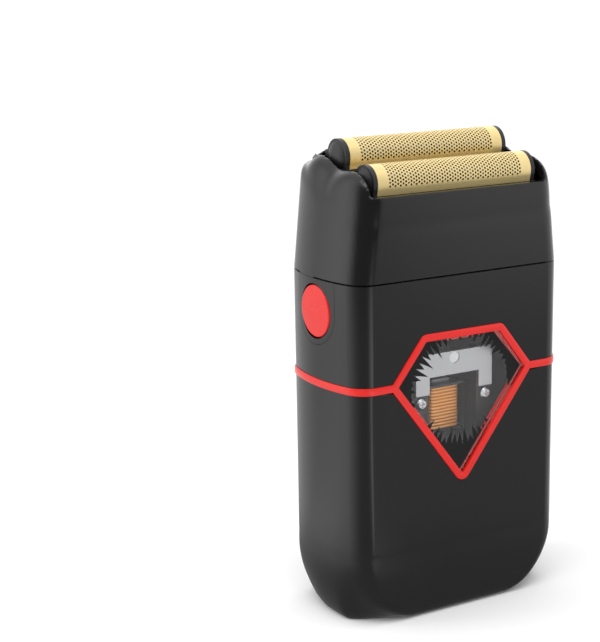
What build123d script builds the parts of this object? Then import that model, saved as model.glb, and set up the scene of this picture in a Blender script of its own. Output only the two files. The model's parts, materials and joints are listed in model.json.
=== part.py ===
from build123d import *
from math import cos, radians, sin, sqrt, tan
import os

# Double-foil shaver, standing on its flat bottom. Millimetres, +Z up, front face towards -Y.
# The origin is the middle of the bottom face.

# ---- outer form -------------------------------------------------------------------------------
WIDTH = 66.0              # overall width at the middle of the bulging sides
DEPTH = 33.4              # front flat to back flat
CREASE = 6.5              # from the widest point in to the edge of the front flat
SIDE_BULGE = 1.7          # how far the side bows out past its own corners
CORNER_DEPTH = 4.4        # how far back the rounded corner strip reaches
BOTTOM_R = 20.0           # bottom corners, seen from the front
BOTTOM_EDGE_R = 2.5       # bottom edge, front and back
BOTTOM_CREASE = 3.2       # width of the corner strip where it runs out under the bottom
WALL = 2.0
SEAM_Z = 87.9             # joint between body and lift-off head
BAND_Z = 61.8             # middle of the trim band
GAP = 0.1                 # shut line between fixed shells
LIP_WALL = 0.9            # inner lip that carries the band and the upper shell
LIP_RISE = 2.2

# ---- trim, window and mask ----------------------------------------------------------------------
TRIM_W = 1.9
TRIM_PROUD = 0.3
TRIM_DEPTH = 1.0
DIAMOND = [(-11.6, 73.2), (11.6, 73.2), (20.5, BAND_Z), (0.0, 34.8), (-20.5, BAND_Z)]
DIAMOND_CORNER_R = 1.4
LENS_RECESS = 0.45
LENS_T = 1.3
LENS_FIT = 0.05
LEDGE_W = 0.9
LEDGE_T = 0.45
MASK_T = 0.15
MASK_EDGE = 0.3
MASK_Z = 58.7
MASK_ROOT_R = 12.9
MASK_TIP_R = 10.9
MASK_TEETH = 44

# ---- release buttons ------------------------------------------------------------------------------
BUTTON_Z = 79.7
BUTTON_R = 6.57
BUTTON_GAP = 0.33
BUTTON_FACE = 0.1         # the button's face lies this far inside the widest point
BUTTON_T = 2.6
BUTTON_TRAVEL = 1.5
FLANGE_R = 7.5
FLANGE_T = 1.1
INSERT_HALF = 8.4
INSERT_STEP = 0.5         # the rear half of the insert stands higher at the seam
HOOK_T = 1.5
HOOK_HALF = 4.5
NOSE_GAP = 0.3
SPRING_WALL = 0.6
LATCH_SPRING_R = 2.4
LATCH_SPRING_L = 4.8
SEAT_T = 1.6

# ---- deck under the head --------------------------------------------------------------------------
DECK_Z = 84.4
DECK_T = 2.0
DECK_FIT = 0.1
COLLAR_T = 1.2
COLLAR_GAP = 0.35
COLLAR_RISE = 3.0
RIB_T = 1.4
RIB_HALF = 5.0
SCREW_R = 0.95
SCREW_HEAD_R = 1.9
SCREW_HEAD_T = 1.2
BOSS_R = 2.6
DECK_SCREW_X = 20.0
DECK_SCREW_Y = 11.0
BOSS_DROP = 9.0

# ---- drive motor ------------------------------------------------------------------------------------
PIVOT_Z = 66.0
SHAFT_R = 1.5
SHAFT_RUN = 0.03          # running clearance of the swinging arm on its shaft
LEVER = 32.0              # pivot to drive ball
SWING_DEG = 2.5
DRIVE_Y = -1.5
BALL_R = 1.3
BALL_RUN = 0.06
PIN_R = 0.9
CORE_FRONT = -6.3
CORE_T = 10.0
CORE_LEG_IN = 7.4
CORE_LEG_OUT = 12.2
CORE_BASE_Z = 41.0
CORE_BASE_T = 4.5
CORE_LEG_TOP = 57.5
CENTRE_HALF = 2.6
CENTRE_TOP = 59.0
BOBBIN_FIT = 0.15
BOBBIN_WALL = 0.65
FLANGE = 0.7
FLANGE_OUT = 0.55
WINDING_T = 1.25
PLATE_FRONT = -12.5
PLATE_T = 1.0
PLATE_HALF = 11.65
PLATE_LEG = 4.1
PLATE_TOP = 67.7
PLATE_BAR = 61.7
PLATE_LEG_END = 57.3
BRACKET_T = 3.8
MOTOR_SCREW_X = 9.8
MOTOR_SCREW_Z = 55.2
MOTOR_HEAD_R = 1.45
ARM_HALF = 2.4
ARM_T = 4.0
YOKE_HALF = 11.0
YOKE_Z = 61.6
YOKE_T = 1.8
MAGNET_T = 1.4
MAGNET_IN = 1.2
MAGNET_OUT = 8.8
CENTRING_Z = 74.0
CENTRING_R = 1.6
CENTRING_L = 4.55

# ---- frame, battery and electronics -------------------------------------------------------------------
FRAME_Y = 6.4
FRAME_T = 1.5
FRAME_HALF = 24.0
FRAME_LOW = 29.5
FRAME_TOP = 83.0
CELL_R = 9.2
CELL_L = 50.0
CELL_Z = 17.2
SADDLE_FIT = 0.2
SADDLE_T = 1.0
SADDLE_HALF = 22.0
FRAME_SCREWS = [(21.0, 36.0), (21.0, 56.0)]
PCB_STAND = 1.0
PCB_T = 1.6
PCB_HALF = 17.5
PCB_LOW = 32.0
PCB_TOP = 72.0
POWER_Z = 48.0
POWER_R = 5.0
POWER_TRAVEL = 0.6
LIGHT_Z = 39.0
LIGHT_R = 1.2
SOCKET_W = 8.94
SOCKET_D = 3.26
SOCKET_WALL = 0.35
SOCKET_LOW = 0.5
SOCKET_TOP = 6.3
SOCKET_FIT = 0.15

# ---- head, foils and cutters ----------------------------------------------------------------------------
HEAD_TAPER = 0.105        # how much each side leans in per unit of height
TILT = 22.0               # the two foils lean forward together
FOIL_MID = (-2.95, 114.0) # (y, z) halfway between the two foil axes
FOIL_PITCH = 13.4
FOIL_R = 4.5
FOIL_T = 0.25
FOIL_HALF = 22.8
FOIL_LEG = 1.0
FOIL_FLARE = 15.0
FOIL_FLOAT = 1.2
FRAME_END_T = 1.1
DOME_L = 2.3              # how far the domed end cap bulges past the foil
DOME_IN = 0.15            # the cap stands this far inside the foil's own curve
FRAME_END_GAP = 0.1
RAIL_IN = 5.0
RAIL_W = 0.5
RAIL_TOP = -1.15
RAIL_T = 0.8
POCKET_GAP = 0.6
REAR_OPENING = 21.8       # half width of the opening behind the rear foil, between the shoulders
SHOULDER_V = 2.8          # shoulder top above the foil axes, square to the tilt
SHOULDER_IN = 2.8         # the shoulders stand this far inside the body's widest point
SHOULDER_R = 6.5
SADDLE_V = -0.2
SADDLE_HALF_U = 3.6
BACK_EDGE_U = 14.6        # where the shoulders' top meets the back slope, before rounding
BACK_DROP = 15.5
BACK_R = 5.2
HEAD_FRONT_Z = 109.0      # top edge of the front wall between the shoulders
CUTTER_GAP = 0.39         # blade to the inside of the foil
CUTTER_HALF = 19.5
BLADE_T = 0.35
BLADE_PITCH = 1.3
BLADE_BASE = -0.5
CORE_R = 2.7
CARRIER_HALF = 3.0
CARRIER_LOW = -5.2
POST_R = 1.2
POST_X = 8.0
POST_RUN = 0.1
POST_TOP = -3.2
CARRIAGE_V = -12.0
CARRIAGE_T = 1.6
CARRIAGE_HALF = 15.0
CARRIAGE_U = 8.5
FLEXURE_X = 13.0
FLEXURE_T = 0.5
FLEXURE_TOP = 98.0
FOOT_HALF = 1.0
SHELF_V = -5.0
SHELF_T = 1.2

HALF_W = WIDTH / 2
HALF_D = DEPTH / 2
SHOULDER_HALF = HALF_W - SHOULDER_IN
BAND_LOW = BAND_Z - TRIM_W / 2
BAND_TOP = BAND_Z + TRIM_W / 2
DECK_TOP = DECK_Z + DECK_T
INNER_Y = HALF_D - WALL
FOIL_FRAME = Plane(
    origin=(0, FOIL_MID[0], FOIL_MID[1]),
    x_dir=(1, 0, 0),
    z_dir=(0, -sin(radians(TILT)), cos(radians(TILT))),
)
FOIL_U = {"front": -FOIL_PITCH / 2, "rear": FOIL_PITCH / 2}
SIDES = {"right": 1, "left": -1}


# ---- small builders ------------------------------------------------------------------------------------
def block(x, y, z):
    """A box from three (low, high) pairs."""
    size = [span[1] - span[0] for span in (x, y, z)]
    middle = [(span[0] + span[1]) / 2 for span in (x, y, z)]
    return Pos(*middle) * Box(*size)


def along_x(sketch, x0, x1):
    """A (y, z) sketch drawn out from x0 to x1."""
    return Pos(x0, 0, 0) * extrude(Plane.YZ * sketch, amount=x1 - x0, dir=(1, 0, 0))


def along_y(sketch, y0, y1):
    """An (x, z) sketch drawn out from y0 to y1."""
    return Pos(0, y1, 0) * extrude(Plane.XZ * sketch, amount=y1 - y0, dir=(0, -1, 0))


def along_z(sketch, z0, z1):
    return Pos(0, 0, z0) * extrude(sketch, amount=z1 - z0, dir=(0, 0, 1))


def rod_x(y, z, r, x0, x1):
    return along_x(Pos(y, z) * Circle(r), x0, x1)


def rod_y(x, z, r, y0, y1):
    return along_y(Pos(x, z) * Circle(r), y0, y1)


def rod_z(x, y, r, z0, z1):
    return along_z(Pos(x, y) * Circle(r), z0, z1)


def tilted(part):
    """Moves a part from the foils' own frame (x, u, v) to the shaver's."""
    return FOIL_FRAME.location * part


def both_sides(part):
    return part + mirror(part, about=Plane.YZ)


def group(parts):
    """Several separate solids kept in one node."""
    return Compound([solid for part in parts for solid in part.solids()])


def pan_screw_y(x, z, head_r, y_head, y_end):
    """A pan-head screw driven along +Y, with its head's underside at y_head."""
    head = rod_y(x, z, head_r, y_head - SCREW_HEAD_T, y_head)
    head = chamfer(head.faces().sort_by(Axis.Y)[0].edges(), SCREW_HEAD_T * 0.35)
    slot = SCREW_HEAD_T * 0.45
    low = y_head - SCREW_HEAD_T
    cross = block((x - head_r * 0.6, x + head_r * 0.6), (low, low + slot), (z - 0.2, z + 0.2))
    cross += block((x - 0.2, x + 0.2), (low, low + slot), (z - head_r * 0.6, z + head_r * 0.6))
    return head + rod_y(x, z, SCREW_R, y_head, y_end) - cross


# ---- outer forms ---------------------------------------------------------------------------------------
def plan(half_w, half_d, strip, bulge, corner):
    """The body's plan: flats front and back, rounded corner strips, bowed sides."""
    front = (half_w - strip, -half_d)
    side = (half_w - bulge, corner - half_d)
    reach = side[1]
    radius = (reach**2 + bulge**2) / (2 * bulge)
    lean = (radius - bulge, reach)
    tangent = (lean[1], -lean[0])
    right_front = TangentArc(side, front, tangent=tangent)
    right = ThreePointArc(side, (half_w, 0), (side[0], -side[1]))
    right_back = mirror(right_front, about=Plane.XZ)
    edges = [right_front, right, right_back]
    edges += [mirror(edge, about=Plane.YZ) for edge in edges]
    edges.append(Line(front, (-front[0], front[1])))
    edges.append(Line((front[0], -front[1]), (-front[0], -front[1])))
    return make_face(Wire([e for edge in edges for e in edge.edges()]))


def body_plan(inset):
    return plan(HALF_W - inset, HALF_D - inset, CREASE - 0.9 * inset, SIDE_BULGE, CORNER_DEPTH - 0.75 * inset)


def body_form(inset, top=SEAM_Z):
    """The whole body up to top, with every face moved in by inset."""
    straight = along_z(body_plan(inset), BOTTOM_R, top)
    radius = BOTTOM_R - inset
    edge_r = max(BOTTOM_EDGE_R - inset, 0.5)
    sections = []
    for angle in (0, 15, 30, 45, 60, 72, 82, 90):
        drop = radius * sin(radians(angle))
        share = angle / 90
        strip = CREASE + (BOTTOM_CREASE - CREASE) * share - 0.9 * inset * (1 - 0.5 * share)
        z = BOTTOM_R - drop
        rise = min(max(z - inset, 0.0), edge_r)
        half_d = HALF_D - inset - edge_r + sqrt(edge_r**2 - (edge_r - rise) ** 2)
        half_w = HALF_W - BOTTOM_R + radius * cos(radians(angle))
        size = strip / CREASE
        corner = (CORNER_DEPTH - 0.75 * inset) * (1 - 0.5 * share)
        sections.append(Pos(0, 0, z) * plan(half_w, half_d, strip, SIDE_BULGE * max(size, 0.3), corner))
    return straight + loft(sections)


def body_shell(inner, outer, low, high):
    """The part of the wall between two insets and two heights."""
    wall = along_z(body_plan(outer), low, high) - along_z(body_plan(inner), low - 1, high + 1)
    return wall


def head_form(inset):
    """The head's outside moved in by inset: tapered sides, rounded shoulders, two humps."""
    height = FOIL_MID[1] + 16 - SEAM_Z
    upper = HALF_W - HEAD_TAPER * height
    foot = body_plan(inset)
    crown = plan(upper - inset, HALF_D - inset, CREASE - 0.9 * inset, SIDE_BULGE, CORNER_DEPTH - 0.75 * inset)
    sides = loft([Pos(0, 0, SEAM_Z) * foot, Pos(0, 0, SEAM_Z + height) * crown], ruled=True)
    spread = SHOULDER_HALF + 0.13 * 50
    outline = Polygon(
        (-spread, SHOULDER_V - 50), (spread, SHOULDER_V - 50),
        (SHOULDER_HALF, SHOULDER_V), (-SHOULDER_HALF, SHOULDER_V),
    )
    outline = fillet(outline.vertices().filter_by(lambda v: v.Y > 0), SHOULDER_R)
    outline = offset(outline, -inset) if inset else outline
    shoulders = tilted(along_y(outline, -40, 40))
    c, s = cos(radians(TILT)), sin(radians(TILT))

    def world(u, v):
        return FOIL_MID[0] + u * c - v * s, FOIL_MID[1] + u * s + v * c

    back_edge = world(BACK_EDGE_U, SHOULDER_V)
    front_top = SHOULDER_V - (HALF_D + 0.4 + FOIL_MID[0] - SHOULDER_V * s) * tan(radians(TILT))
    front_edge = (-HALF_D - 0.4, FOIL_MID[1] + front_top - SHOULDER_V + SHOULDER_V * c)
    humps = [
        (front_edge[0], SEAM_Z - 10), front_edge, world(-SADDLE_HALF_U, SHOULDER_V), world(0, SADDLE_V),
        world(SADDLE_HALF_U, SHOULDER_V), back_edge, (HALF_D + 0.4, back_edge[1] - BACK_DROP),
        (HALF_D + 0.4, SEAM_Z - 10),
    ]
    profile = Polygon(*humps)
    for corner, radius in ((1, 6.5), (2, 3.0), (3, 3.0), (4, 3.0), (5, BACK_R), (6, 8.0)):
        at = Vector(*humps[corner])
        profile = fillet(profile.vertices().sort_by_distance(at)[0], radius)
    profile = offset(profile, -inset) if inset else profile
    return sides & shoulders & along_x(profile, -50, 50)


# ---- body shells -----------------------------------------------------------------------------------------
def diamond(grow):
    """The window outline on its centre line, moved out by grow."""
    shape = Polygon(*DIAMOND)
    shape = offset(shape, grow, kind=Kind.INTERSECTION)
    return fillet(shape.vertices(), max(DIAMOND_CORNER_R + grow, TRIM_W / 5))


def diamond_cut(grow):
    return along_y(diamond(grow), -HALF_D - 2, -HALF_D + WALL + 0.5)


def insert_prism(side, grow):
    """The U-shaped side panel's outline, drawn out through the wall."""
    half = INSERT_HALF + grow
    tall = SEAM_Z + 5 - BUTTON_Z
    shape = Pos(0, BUTTON_Z) * Circle(half) + Pos(0, BUTTON_Z + tall / 2) * Rectangle(2 * half, tall)
    low, high = sorted((side * (HALF_W - 8), side * (HALF_W + 3)))
    return along_x(shape, low, high)


def lower_housing():
    shell = body_form(0, BAND_LOW - GAP) - body_form(WALL, BAND_LOW + 5)
    lip = body_shell(WALL, WALL - LIP_WALL, BAND_LOW - GAP - 1.0, BAND_TOP + LIP_RISE)
    shell = shell + lip - diamond_cut(TRIM_W / 2 + GAP)
    for x, z in FRAME_SCREWS:
        boss = rod_y(x, z, BOSS_R, FRAME_Y + FRAME_T, INNER_Y + 0.5)
        shell += both_sides(boss)
        shell -= both_sides(rod_y(x, z, SCREW_R + 0.05, FRAME_Y, INNER_Y - 1))
    mouth = SlotOverall(SOCKET_W + 2 * SOCKET_FIT, SOCKET_D + 2 * SOCKET_FIT)
    shell -= along_z(mouth, -1, WALL + 1)
    for x in (-7.0, 7.0):
        rib = block((x - 0.6, x + 0.6), (0.2, 5.0), (WALL - 0.3, 4.6))
        groove = block((x - 1, x + 1), (SOCKET_D / 2 + 0.05, SOCKET_D / 2 + 1.25), (SOCKET_LOW + 2, 6))
        shell += rib - groove
    shell -= rod_y(0, POWER_Z, POWER_R + 0.3, INNER_Y - 1, HALF_D + 1)
    shell -= rod_y(0, LIGHT_Z, LIGHT_R + 0.05, INNER_Y - 1, HALF_D + 1)
    return shell


def upper_housing():
    shell = body_shell(WALL, 0, BAND_TOP + GAP, SEAM_Z)
    rebate = body_shell(WALL + 1, WALL - LIP_WALL - GAP, BAND_TOP, BAND_TOP + LIP_RISE + GAP)
    shell = shell - rebate - diamond_cut(TRIM_W / 2 + GAP)
    for x in (-DECK_SCREW_X, DECK_SCREW_X):
        for way in (-1, 1):
            y = way * DECK_SCREW_Y
            shell += rod_z(x, y, BOSS_R, DECK_Z - BOSS_DROP, DECK_Z)
            reach = sorted((y, way * (INNER_Y + 0.3)))
            shell += block((x - 1.2, x + 1.2), reach, (DECK_Z - BOSS_DROP, DECK_Z))
            shell -= rod_z(x, y, SCREW_R + 0.05, DECK_Z - BOSS_DROP + 1.5, DECK_Z + 1)
    for side in SIDES.values():
        shell -= insert_prism(side, 0)
    return shell


def trim_bezel():
    """The band round the body and the diamond frame of the window, moulded as one piece."""
    band = body_shell(TRIM_DEPTH, -TRIM_PROUD, BAND_LOW, BAND_TOP)
    band -= diamond_cut(0)
    face = -HALF_D - TRIM_PROUD
    lens_back = -HALF_D + LENS_RECESS + LENS_T + MASK_T
    frame = along_y(diamond(TRIM_W / 2), face, lens_back + LEDGE_T)
    frame -= along_y(diamond(-TRIM_W / 2), face - 1, lens_back)
    frame -= along_y(diamond(-TRIM_W / 2 - LEDGE_W), face - 1, lens_back + 2)
    return band + frame


def window_lens():
    front = -HALF_D + LENS_RECESS
    return along_y(diamond(-TRIM_W / 2 - LENS_FIT), front, front + LENS_T)


def window_mask():
    """Dark film behind the lens, with a round clear opening edged with pointed teeth."""
    points = []
    for tooth in range(MASK_TEETH):
        for part, radius in ((0.0, MASK_ROOT_R), (0.5, MASK_TIP_R + 0.9 * (tooth % 3))):
            turn = radians(360 * (tooth + part) / MASK_TEETH)
            points.append((radius * sin(turn), MASK_Z + radius * cos(turn)))
    opening = Polygon(*points)
    front = -HALF_D + LENS_RECESS + LENS_T
    film = along_y(diamond(-TRIM_W / 2 - MASK_EDGE), front, front + MASK_T)
    return film - along_y(opening, front - 1, front + 1)


# ---- release buttons and latches -----------------------------------------------------------------------
def button_insert(side):
    wall = body_shell(WALL, 0, BUTTON_Z - INSERT_HALF - 2, SEAM_Z)
    low_x, high_x = sorted((side * (HALF_W - 10), side * (HALF_W + 5)))
    step = body_shell(WALL, 0.15, SEAM_Z, SEAM_Z + INSERT_STEP)
    wall += step & block((low_x, high_x), (0.3, INSERT_HALF), (SEAM_Z, SEAM_Z + INSERT_STEP))
    panel = wall & insert_prism(side, -GAP)
    hole = BUTTON_R + BUTTON_GAP
    return panel - rod_x(0, BUTTON_Z, hole, low_x, high_x)


def release_button(side):
    face = HALF_W - BUTTON_FACE
    disc = rod_x(0, BUTTON_Z, BUTTON_R, face - BUTTON_T, face)
    disc = fillet(disc.faces().sort_by(Axis.X)[-1].edges(), 0.45)
    flange = rod_x(0, BUTTON_Z, FLANGE_R, face - BUTTON_T - FLANGE_T, face - BUTTON_T - 0.3)
    neck = rod_x(0, BUTTON_Z, BUTTON_R - 0.6, face - BUTTON_T - 0.5, face - BUTTON_T + 0.2)
    button = disc + neck + flange
    return button if side > 0 else mirror(button, about=Plane.YZ)


HOOK_OUT = HALF_W - BUTTON_FACE - BUTTON_T - FLANGE_T
HOOK_IN = HOOK_OUT - HOOK_T
NOSE_Z = DECK_TOP + COLLAR_RISE + 3.5
RIB_Z = NOSE_Z - RIB_T - 0.3
RIB_FACE = HOOK_OUT + 0.5 + NOSE_GAP


def latch_hook(side):
    """The plate behind the button that rises through the deck to the head's catch."""
    plate = block((HOOK_IN, HOOK_OUT), (-HOOK_HALF, HOOK_HALF), (BUTTON_Z - 5, NOSE_Z + 1.6))
    nose = block((HOOK_OUT - 0.5, HOOK_OUT + 0.5), (-HOOK_HALF, HOOK_HALF), (NOSE_Z, NOSE_Z + 1.6))
    hook = chamfer((plate + nose).edges().filter_by(Axis.Y).group_by(Axis.Z)[-1].sort_by(Axis.X)[-1], 0.7)
    return hook if side > 0 else mirror(hook, about=Plane.YZ)


def latch_spring(side):
    tube = rod_x(0, BUTTON_Z, LATCH_SPRING_R, HOOK_IN - LATCH_SPRING_L, HOOK_IN)
    tube -= rod_x(0, BUTTON_Z, LATCH_SPRING_R - SPRING_WALL, HOOK_IN - 20, HOOK_IN + 1)
    return tube if side > 0 else mirror(tube, about=Plane.YZ)


def top_deck():
    """Closes the body under the head: plate, collar that guides the head, and the spring seats."""
    deck = along_z(body_plan(WALL + DECK_FIT), DECK_Z, DECK_TOP)
    outer = WALL + COLLAR_GAP
    deck += body_shell(outer + COLLAR_T, outer, DECK_TOP - 0.5, SEAM_Z + COLLAR_RISE)
    slot_in = HOOK_IN - BUTTON_TRAVEL - 0.4
    slot = block((slot_in, HOOK_OUT + 0.9), (-HOOK_HALF - 0.5, HOOK_HALF + 0.5), (DECK_Z - 1, SEAM_Z + 20))
    deck -= both_sides(slot)
    deck -= both_sides(rod_x(0, BUTTON_Z, FLANGE_R + 0.5, slot_in, HALF_W + 1))
    lever = block((-ARM_HALF - 1.8, ARM_HALF + 1.8), (DRIVE_Y - 2.8, DRIVE_Y + 2.8), (DECK_Z - 1, DECK_TOP + 1))
    deck -= lever
    seat_x = HOOK_IN - LATCH_SPRING_L
    seat = block((seat_x - SEAT_T, seat_x), (-3.4, 3.4), (BUTTON_Z - 3.4, DECK_Z + 0.2))
    deck += both_sides(seat)
    for x in (-DECK_SCREW_X, DECK_SCREW_X):
        for y in (-DECK_SCREW_Y, DECK_SCREW_Y):
            deck -= rod_z(x, y, SCREW_R + 0.15, DECK_Z - 1, DECK_TOP + 1)
    return deck


def deck_screws():
    screws = []
    for x in (-DECK_SCREW_X, DECK_SCREW_X):
        for y in (-DECK_SCREW_Y, DECK_SCREW_Y):
            head = rod_z(x, y, SCREW_HEAD_R, DECK_TOP, DECK_TOP + SCREW_HEAD_T)
            head = chamfer(head.faces().sort_by(Axis.Z)[-1].edges(), 0.4)
            top = DECK_TOP + SCREW_HEAD_T
            cross = block((x - 1.1, x + 1.1), (y - 0.2, y + 0.2), (top - 0.6, top))
            cross += block((x - 0.2, x + 0.2), (y - 1.1, y + 1.1), (top - 0.6, top))
            screws.append(head + rod_z(x, y, SCREW_R, DECK_Z - 6, DECK_TOP) - cross)
    return group(screws)


def dust_seal():
    """Rubber ring round the slot where the swinging arm comes through the deck."""
    half = ARM_HALF + 1.5
    ring = block((-half - 2.2, half + 2.2), (DRIVE_Y - 4.6, DRIVE_Y + 4.6), (DECK_TOP, DECK_TOP + 1.8))
    ring = fillet(ring.edges().filter_by(Axis.Z), 2.0)
    return ring - block((-half, half), (DRIVE_Y - 2.5, DRIVE_Y + 2.5), (DECK_TOP - 1, DECK_TOP + 3))


# ---- drive motor -----------------------------------------------------------------------------------------
CORE_BACK = CORE_FRONT + CORE_T
BRACKET_FRONT = PLATE_FRONT + PLATE_T
SHAFT_FIT = 0.02


def stator_core():
    """E-shaped lamination stack, open upwards."""
    core = block((-CORE_LEG_OUT, CORE_LEG_OUT), (CORE_FRONT, CORE_BACK), (CORE_BASE_Z, CORE_BASE_Z + CORE_BASE_T))
    leg = block((CORE_LEG_IN, CORE_LEG_OUT), (CORE_FRONT, CORE_BACK), (CORE_BASE_Z, CORE_LEG_TOP))
    core += both_sides(leg)
    core += block((-CENTRE_HALF, CENTRE_HALF), (CORE_FRONT, CORE_BACK), (CORE_BASE_Z, CENTRE_TOP))
    for x in (-MOTOR_SCREW_X, MOTOR_SCREW_X):
        core -= rod_y(x, MOTOR_SCREW_Z, SCREW_R + 0.1, CORE_FRONT - 1, CORE_BACK + 1)
    return core


def leg_ring(grow_in, grow_out, low, high):
    """A rectangular ring round the core's centre leg."""
    inner = CENTRE_HALF + grow_in
    outer = CENTRE_HALF + grow_out
    ring = block((-outer, outer), (CORE_FRONT - grow_out, CORE_BACK + grow_out), (low, high))
    return ring - block((-inner, inner), (CORE_FRONT - grow_in, CORE_BACK + grow_in), (low - 1, high + 1))


BOBBIN_LOW = CORE_BASE_Z + CORE_BASE_T + 0.1
BOBBIN_TOP = CENTRE_TOP - 0.7
TUBE_OUT = BOBBIN_FIT + BOBBIN_WALL


def coil_bobbin():
    wide = TUBE_OUT + WINDING_T + FLANGE_OUT
    bobbin = leg_ring(BOBBIN_FIT, TUBE_OUT, BOBBIN_LOW, BOBBIN_TOP)
    bobbin += leg_ring(BOBBIN_FIT, wide, BOBBIN_LOW, BOBBIN_LOW + FLANGE)
    bobbin += leg_ring(BOBBIN_FIT, wide, BOBBIN_TOP - FLANGE, BOBBIN_TOP)
    return bobbin


def coil_winding():
    return leg_ring(TUBE_OUT, TUBE_OUT + WINDING_T, BOBBIN_LOW + FLANGE, BOBBIN_TOP - FLANGE)


def motor_front_plate():
    """Bright inverted-U plate that carries the front end of the pivot shaft."""
    shape = Pos(0, (PLATE_BAR + PLATE_TOP) / 2) * Rectangle(2 * PLATE_HALF, PLATE_TOP - PLATE_BAR)
    for way in (-1, 1):
        x = way * (PLATE_HALF - PLATE_LEG / 2)
        shape += Pos(x, (PLATE_LEG_END + PLATE_TOP) / 2) * Rectangle(PLATE_LEG, PLATE_TOP - PLATE_LEG_END)
    plate = along_y(shape, PLATE_FRONT, BRACKET_FRONT)
    return plate - rod_y(0, PIVOT_Z, SHAFT_R + SHAFT_FIT, PLATE_FRONT - 1, BRACKET_FRONT + 1)


def motor_bracket():
    """Dark moulded bracket in front of the core: two posts on a bar."""
    depth = (BRACKET_FRONT, BRACKET_FRONT + BRACKET_T)
    post = block((CORE_LEG_IN, CORE_LEG_OUT), depth, (CORE_BASE_Z - 2, PLATE_TOP))
    bracket = both_sides(post) + block((-CORE_LEG_OUT, CORE_LEG_OUT), depth, (CORE_BASE_Z - 2, CORE_BASE_Z + 1))
    pad = block((CORE_LEG_IN, CORE_LEG_OUT), (depth[1] - 0.2, CORE_FRONT), (CORE_BASE_Z, CORE_LEG_TOP))
    bracket += both_sides(pad)
    for x in (-MOTOR_SCREW_X, MOTOR_SCREW_X):
        bracket -= rod_y(x, MOTOR_SCREW_Z, SCREW_R + 0.1, BRACKET_FRONT - 1, CORE_FRONT + 1)
    return bracket


def motor_screws():
    return group([
        pan_screw_y(x, MOTOR_SCREW_Z, MOTOR_HEAD_R, BRACKET_FRONT, FRAME_Y - 0.4)
        for x in (-MOTOR_SCREW_X, MOTOR_SCREW_X)
    ])


def pivot_shaft():
    return rod_y(0, PIVOT_Z, SHAFT_R, PLATE_FRONT + 0.2, FRAME_Y + FRAME_T - 0.1)


def armature():
    """Swinging arm: hub on the shaft, yoke above the core, lever up into the head."""
    front, back = CORE_FRONT + 1.0, CORE_BACK
    arm = rod_y(0, PIVOT_Z, SHAFT_R + 1.8, front, back)
    arm += block((-ARM_HALF, ARM_HALF), (front, back), (YOKE_Z, PIVOT_Z))
    arm += block((-YOKE_HALF, YOKE_HALF), (front, back), (YOKE_Z, YOKE_Z + YOKE_T))
    lever_y = (DRIVE_Y - ARM_T / 2, DRIVE_Y + ARM_T / 2)
    arm += block((-ARM_HALF, ARM_HALF), lever_y, (PIVOT_Z, PIVOT_Z + LEVER - 5))
    arm -= rod_y(0, PIVOT_Z, SHAFT_R + SHAFT_RUN, front - 1, back + 1)
    return arm - rod_z(0, DRIVE_Y, PIN_R + 0.01, PIVOT_Z + LEVER - 10, PIVOT_Z + LEVER)


def armature_magnets():
    front, back = CORE_FRONT + 1.3, CORE_BACK - 0.3
    return group([
        block(sorted((way * MAGNET_IN, way * MAGNET_OUT)), (front, back), (YOKE_Z - MAGNET_T, YOKE_Z))
        for way in (-1, 1)
    ])


def drive_pin():
    """Steel pin in the lever's end, with a ball that drives the cutter carriage."""
    pin = rod_z(0, DRIVE_Y, PIN_R, PIVOT_Z + LEVER - 9.8, PIVOT_Z + LEVER)
    return pin + Pos(0, DRIVE_Y, PIVOT_Z + LEVER) * Sphere(BALL_R)


def centring_springs():
    springs = []
    for way in (-1, 1):
        ends = sorted((way * (ARM_HALF + 0.05), way * (ARM_HALF + 0.05 + CENTRING_L)))
        tube = rod_x(DRIVE_Y, CENTRING_Z, CENTRING_R, *ends)
        springs.append(tube - rod_x(DRIVE_Y, CENTRING_Z, CENTRING_R - SPRING_WALL, -30, 30))
    return group(springs)


# ---- frame, battery and electronics ----------------------------------------------------------------------
PCB_Y = FRAME_Y + FRAME_T + PCB_STAND
PCB_BACK = PCB_Y + PCB_T


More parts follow.
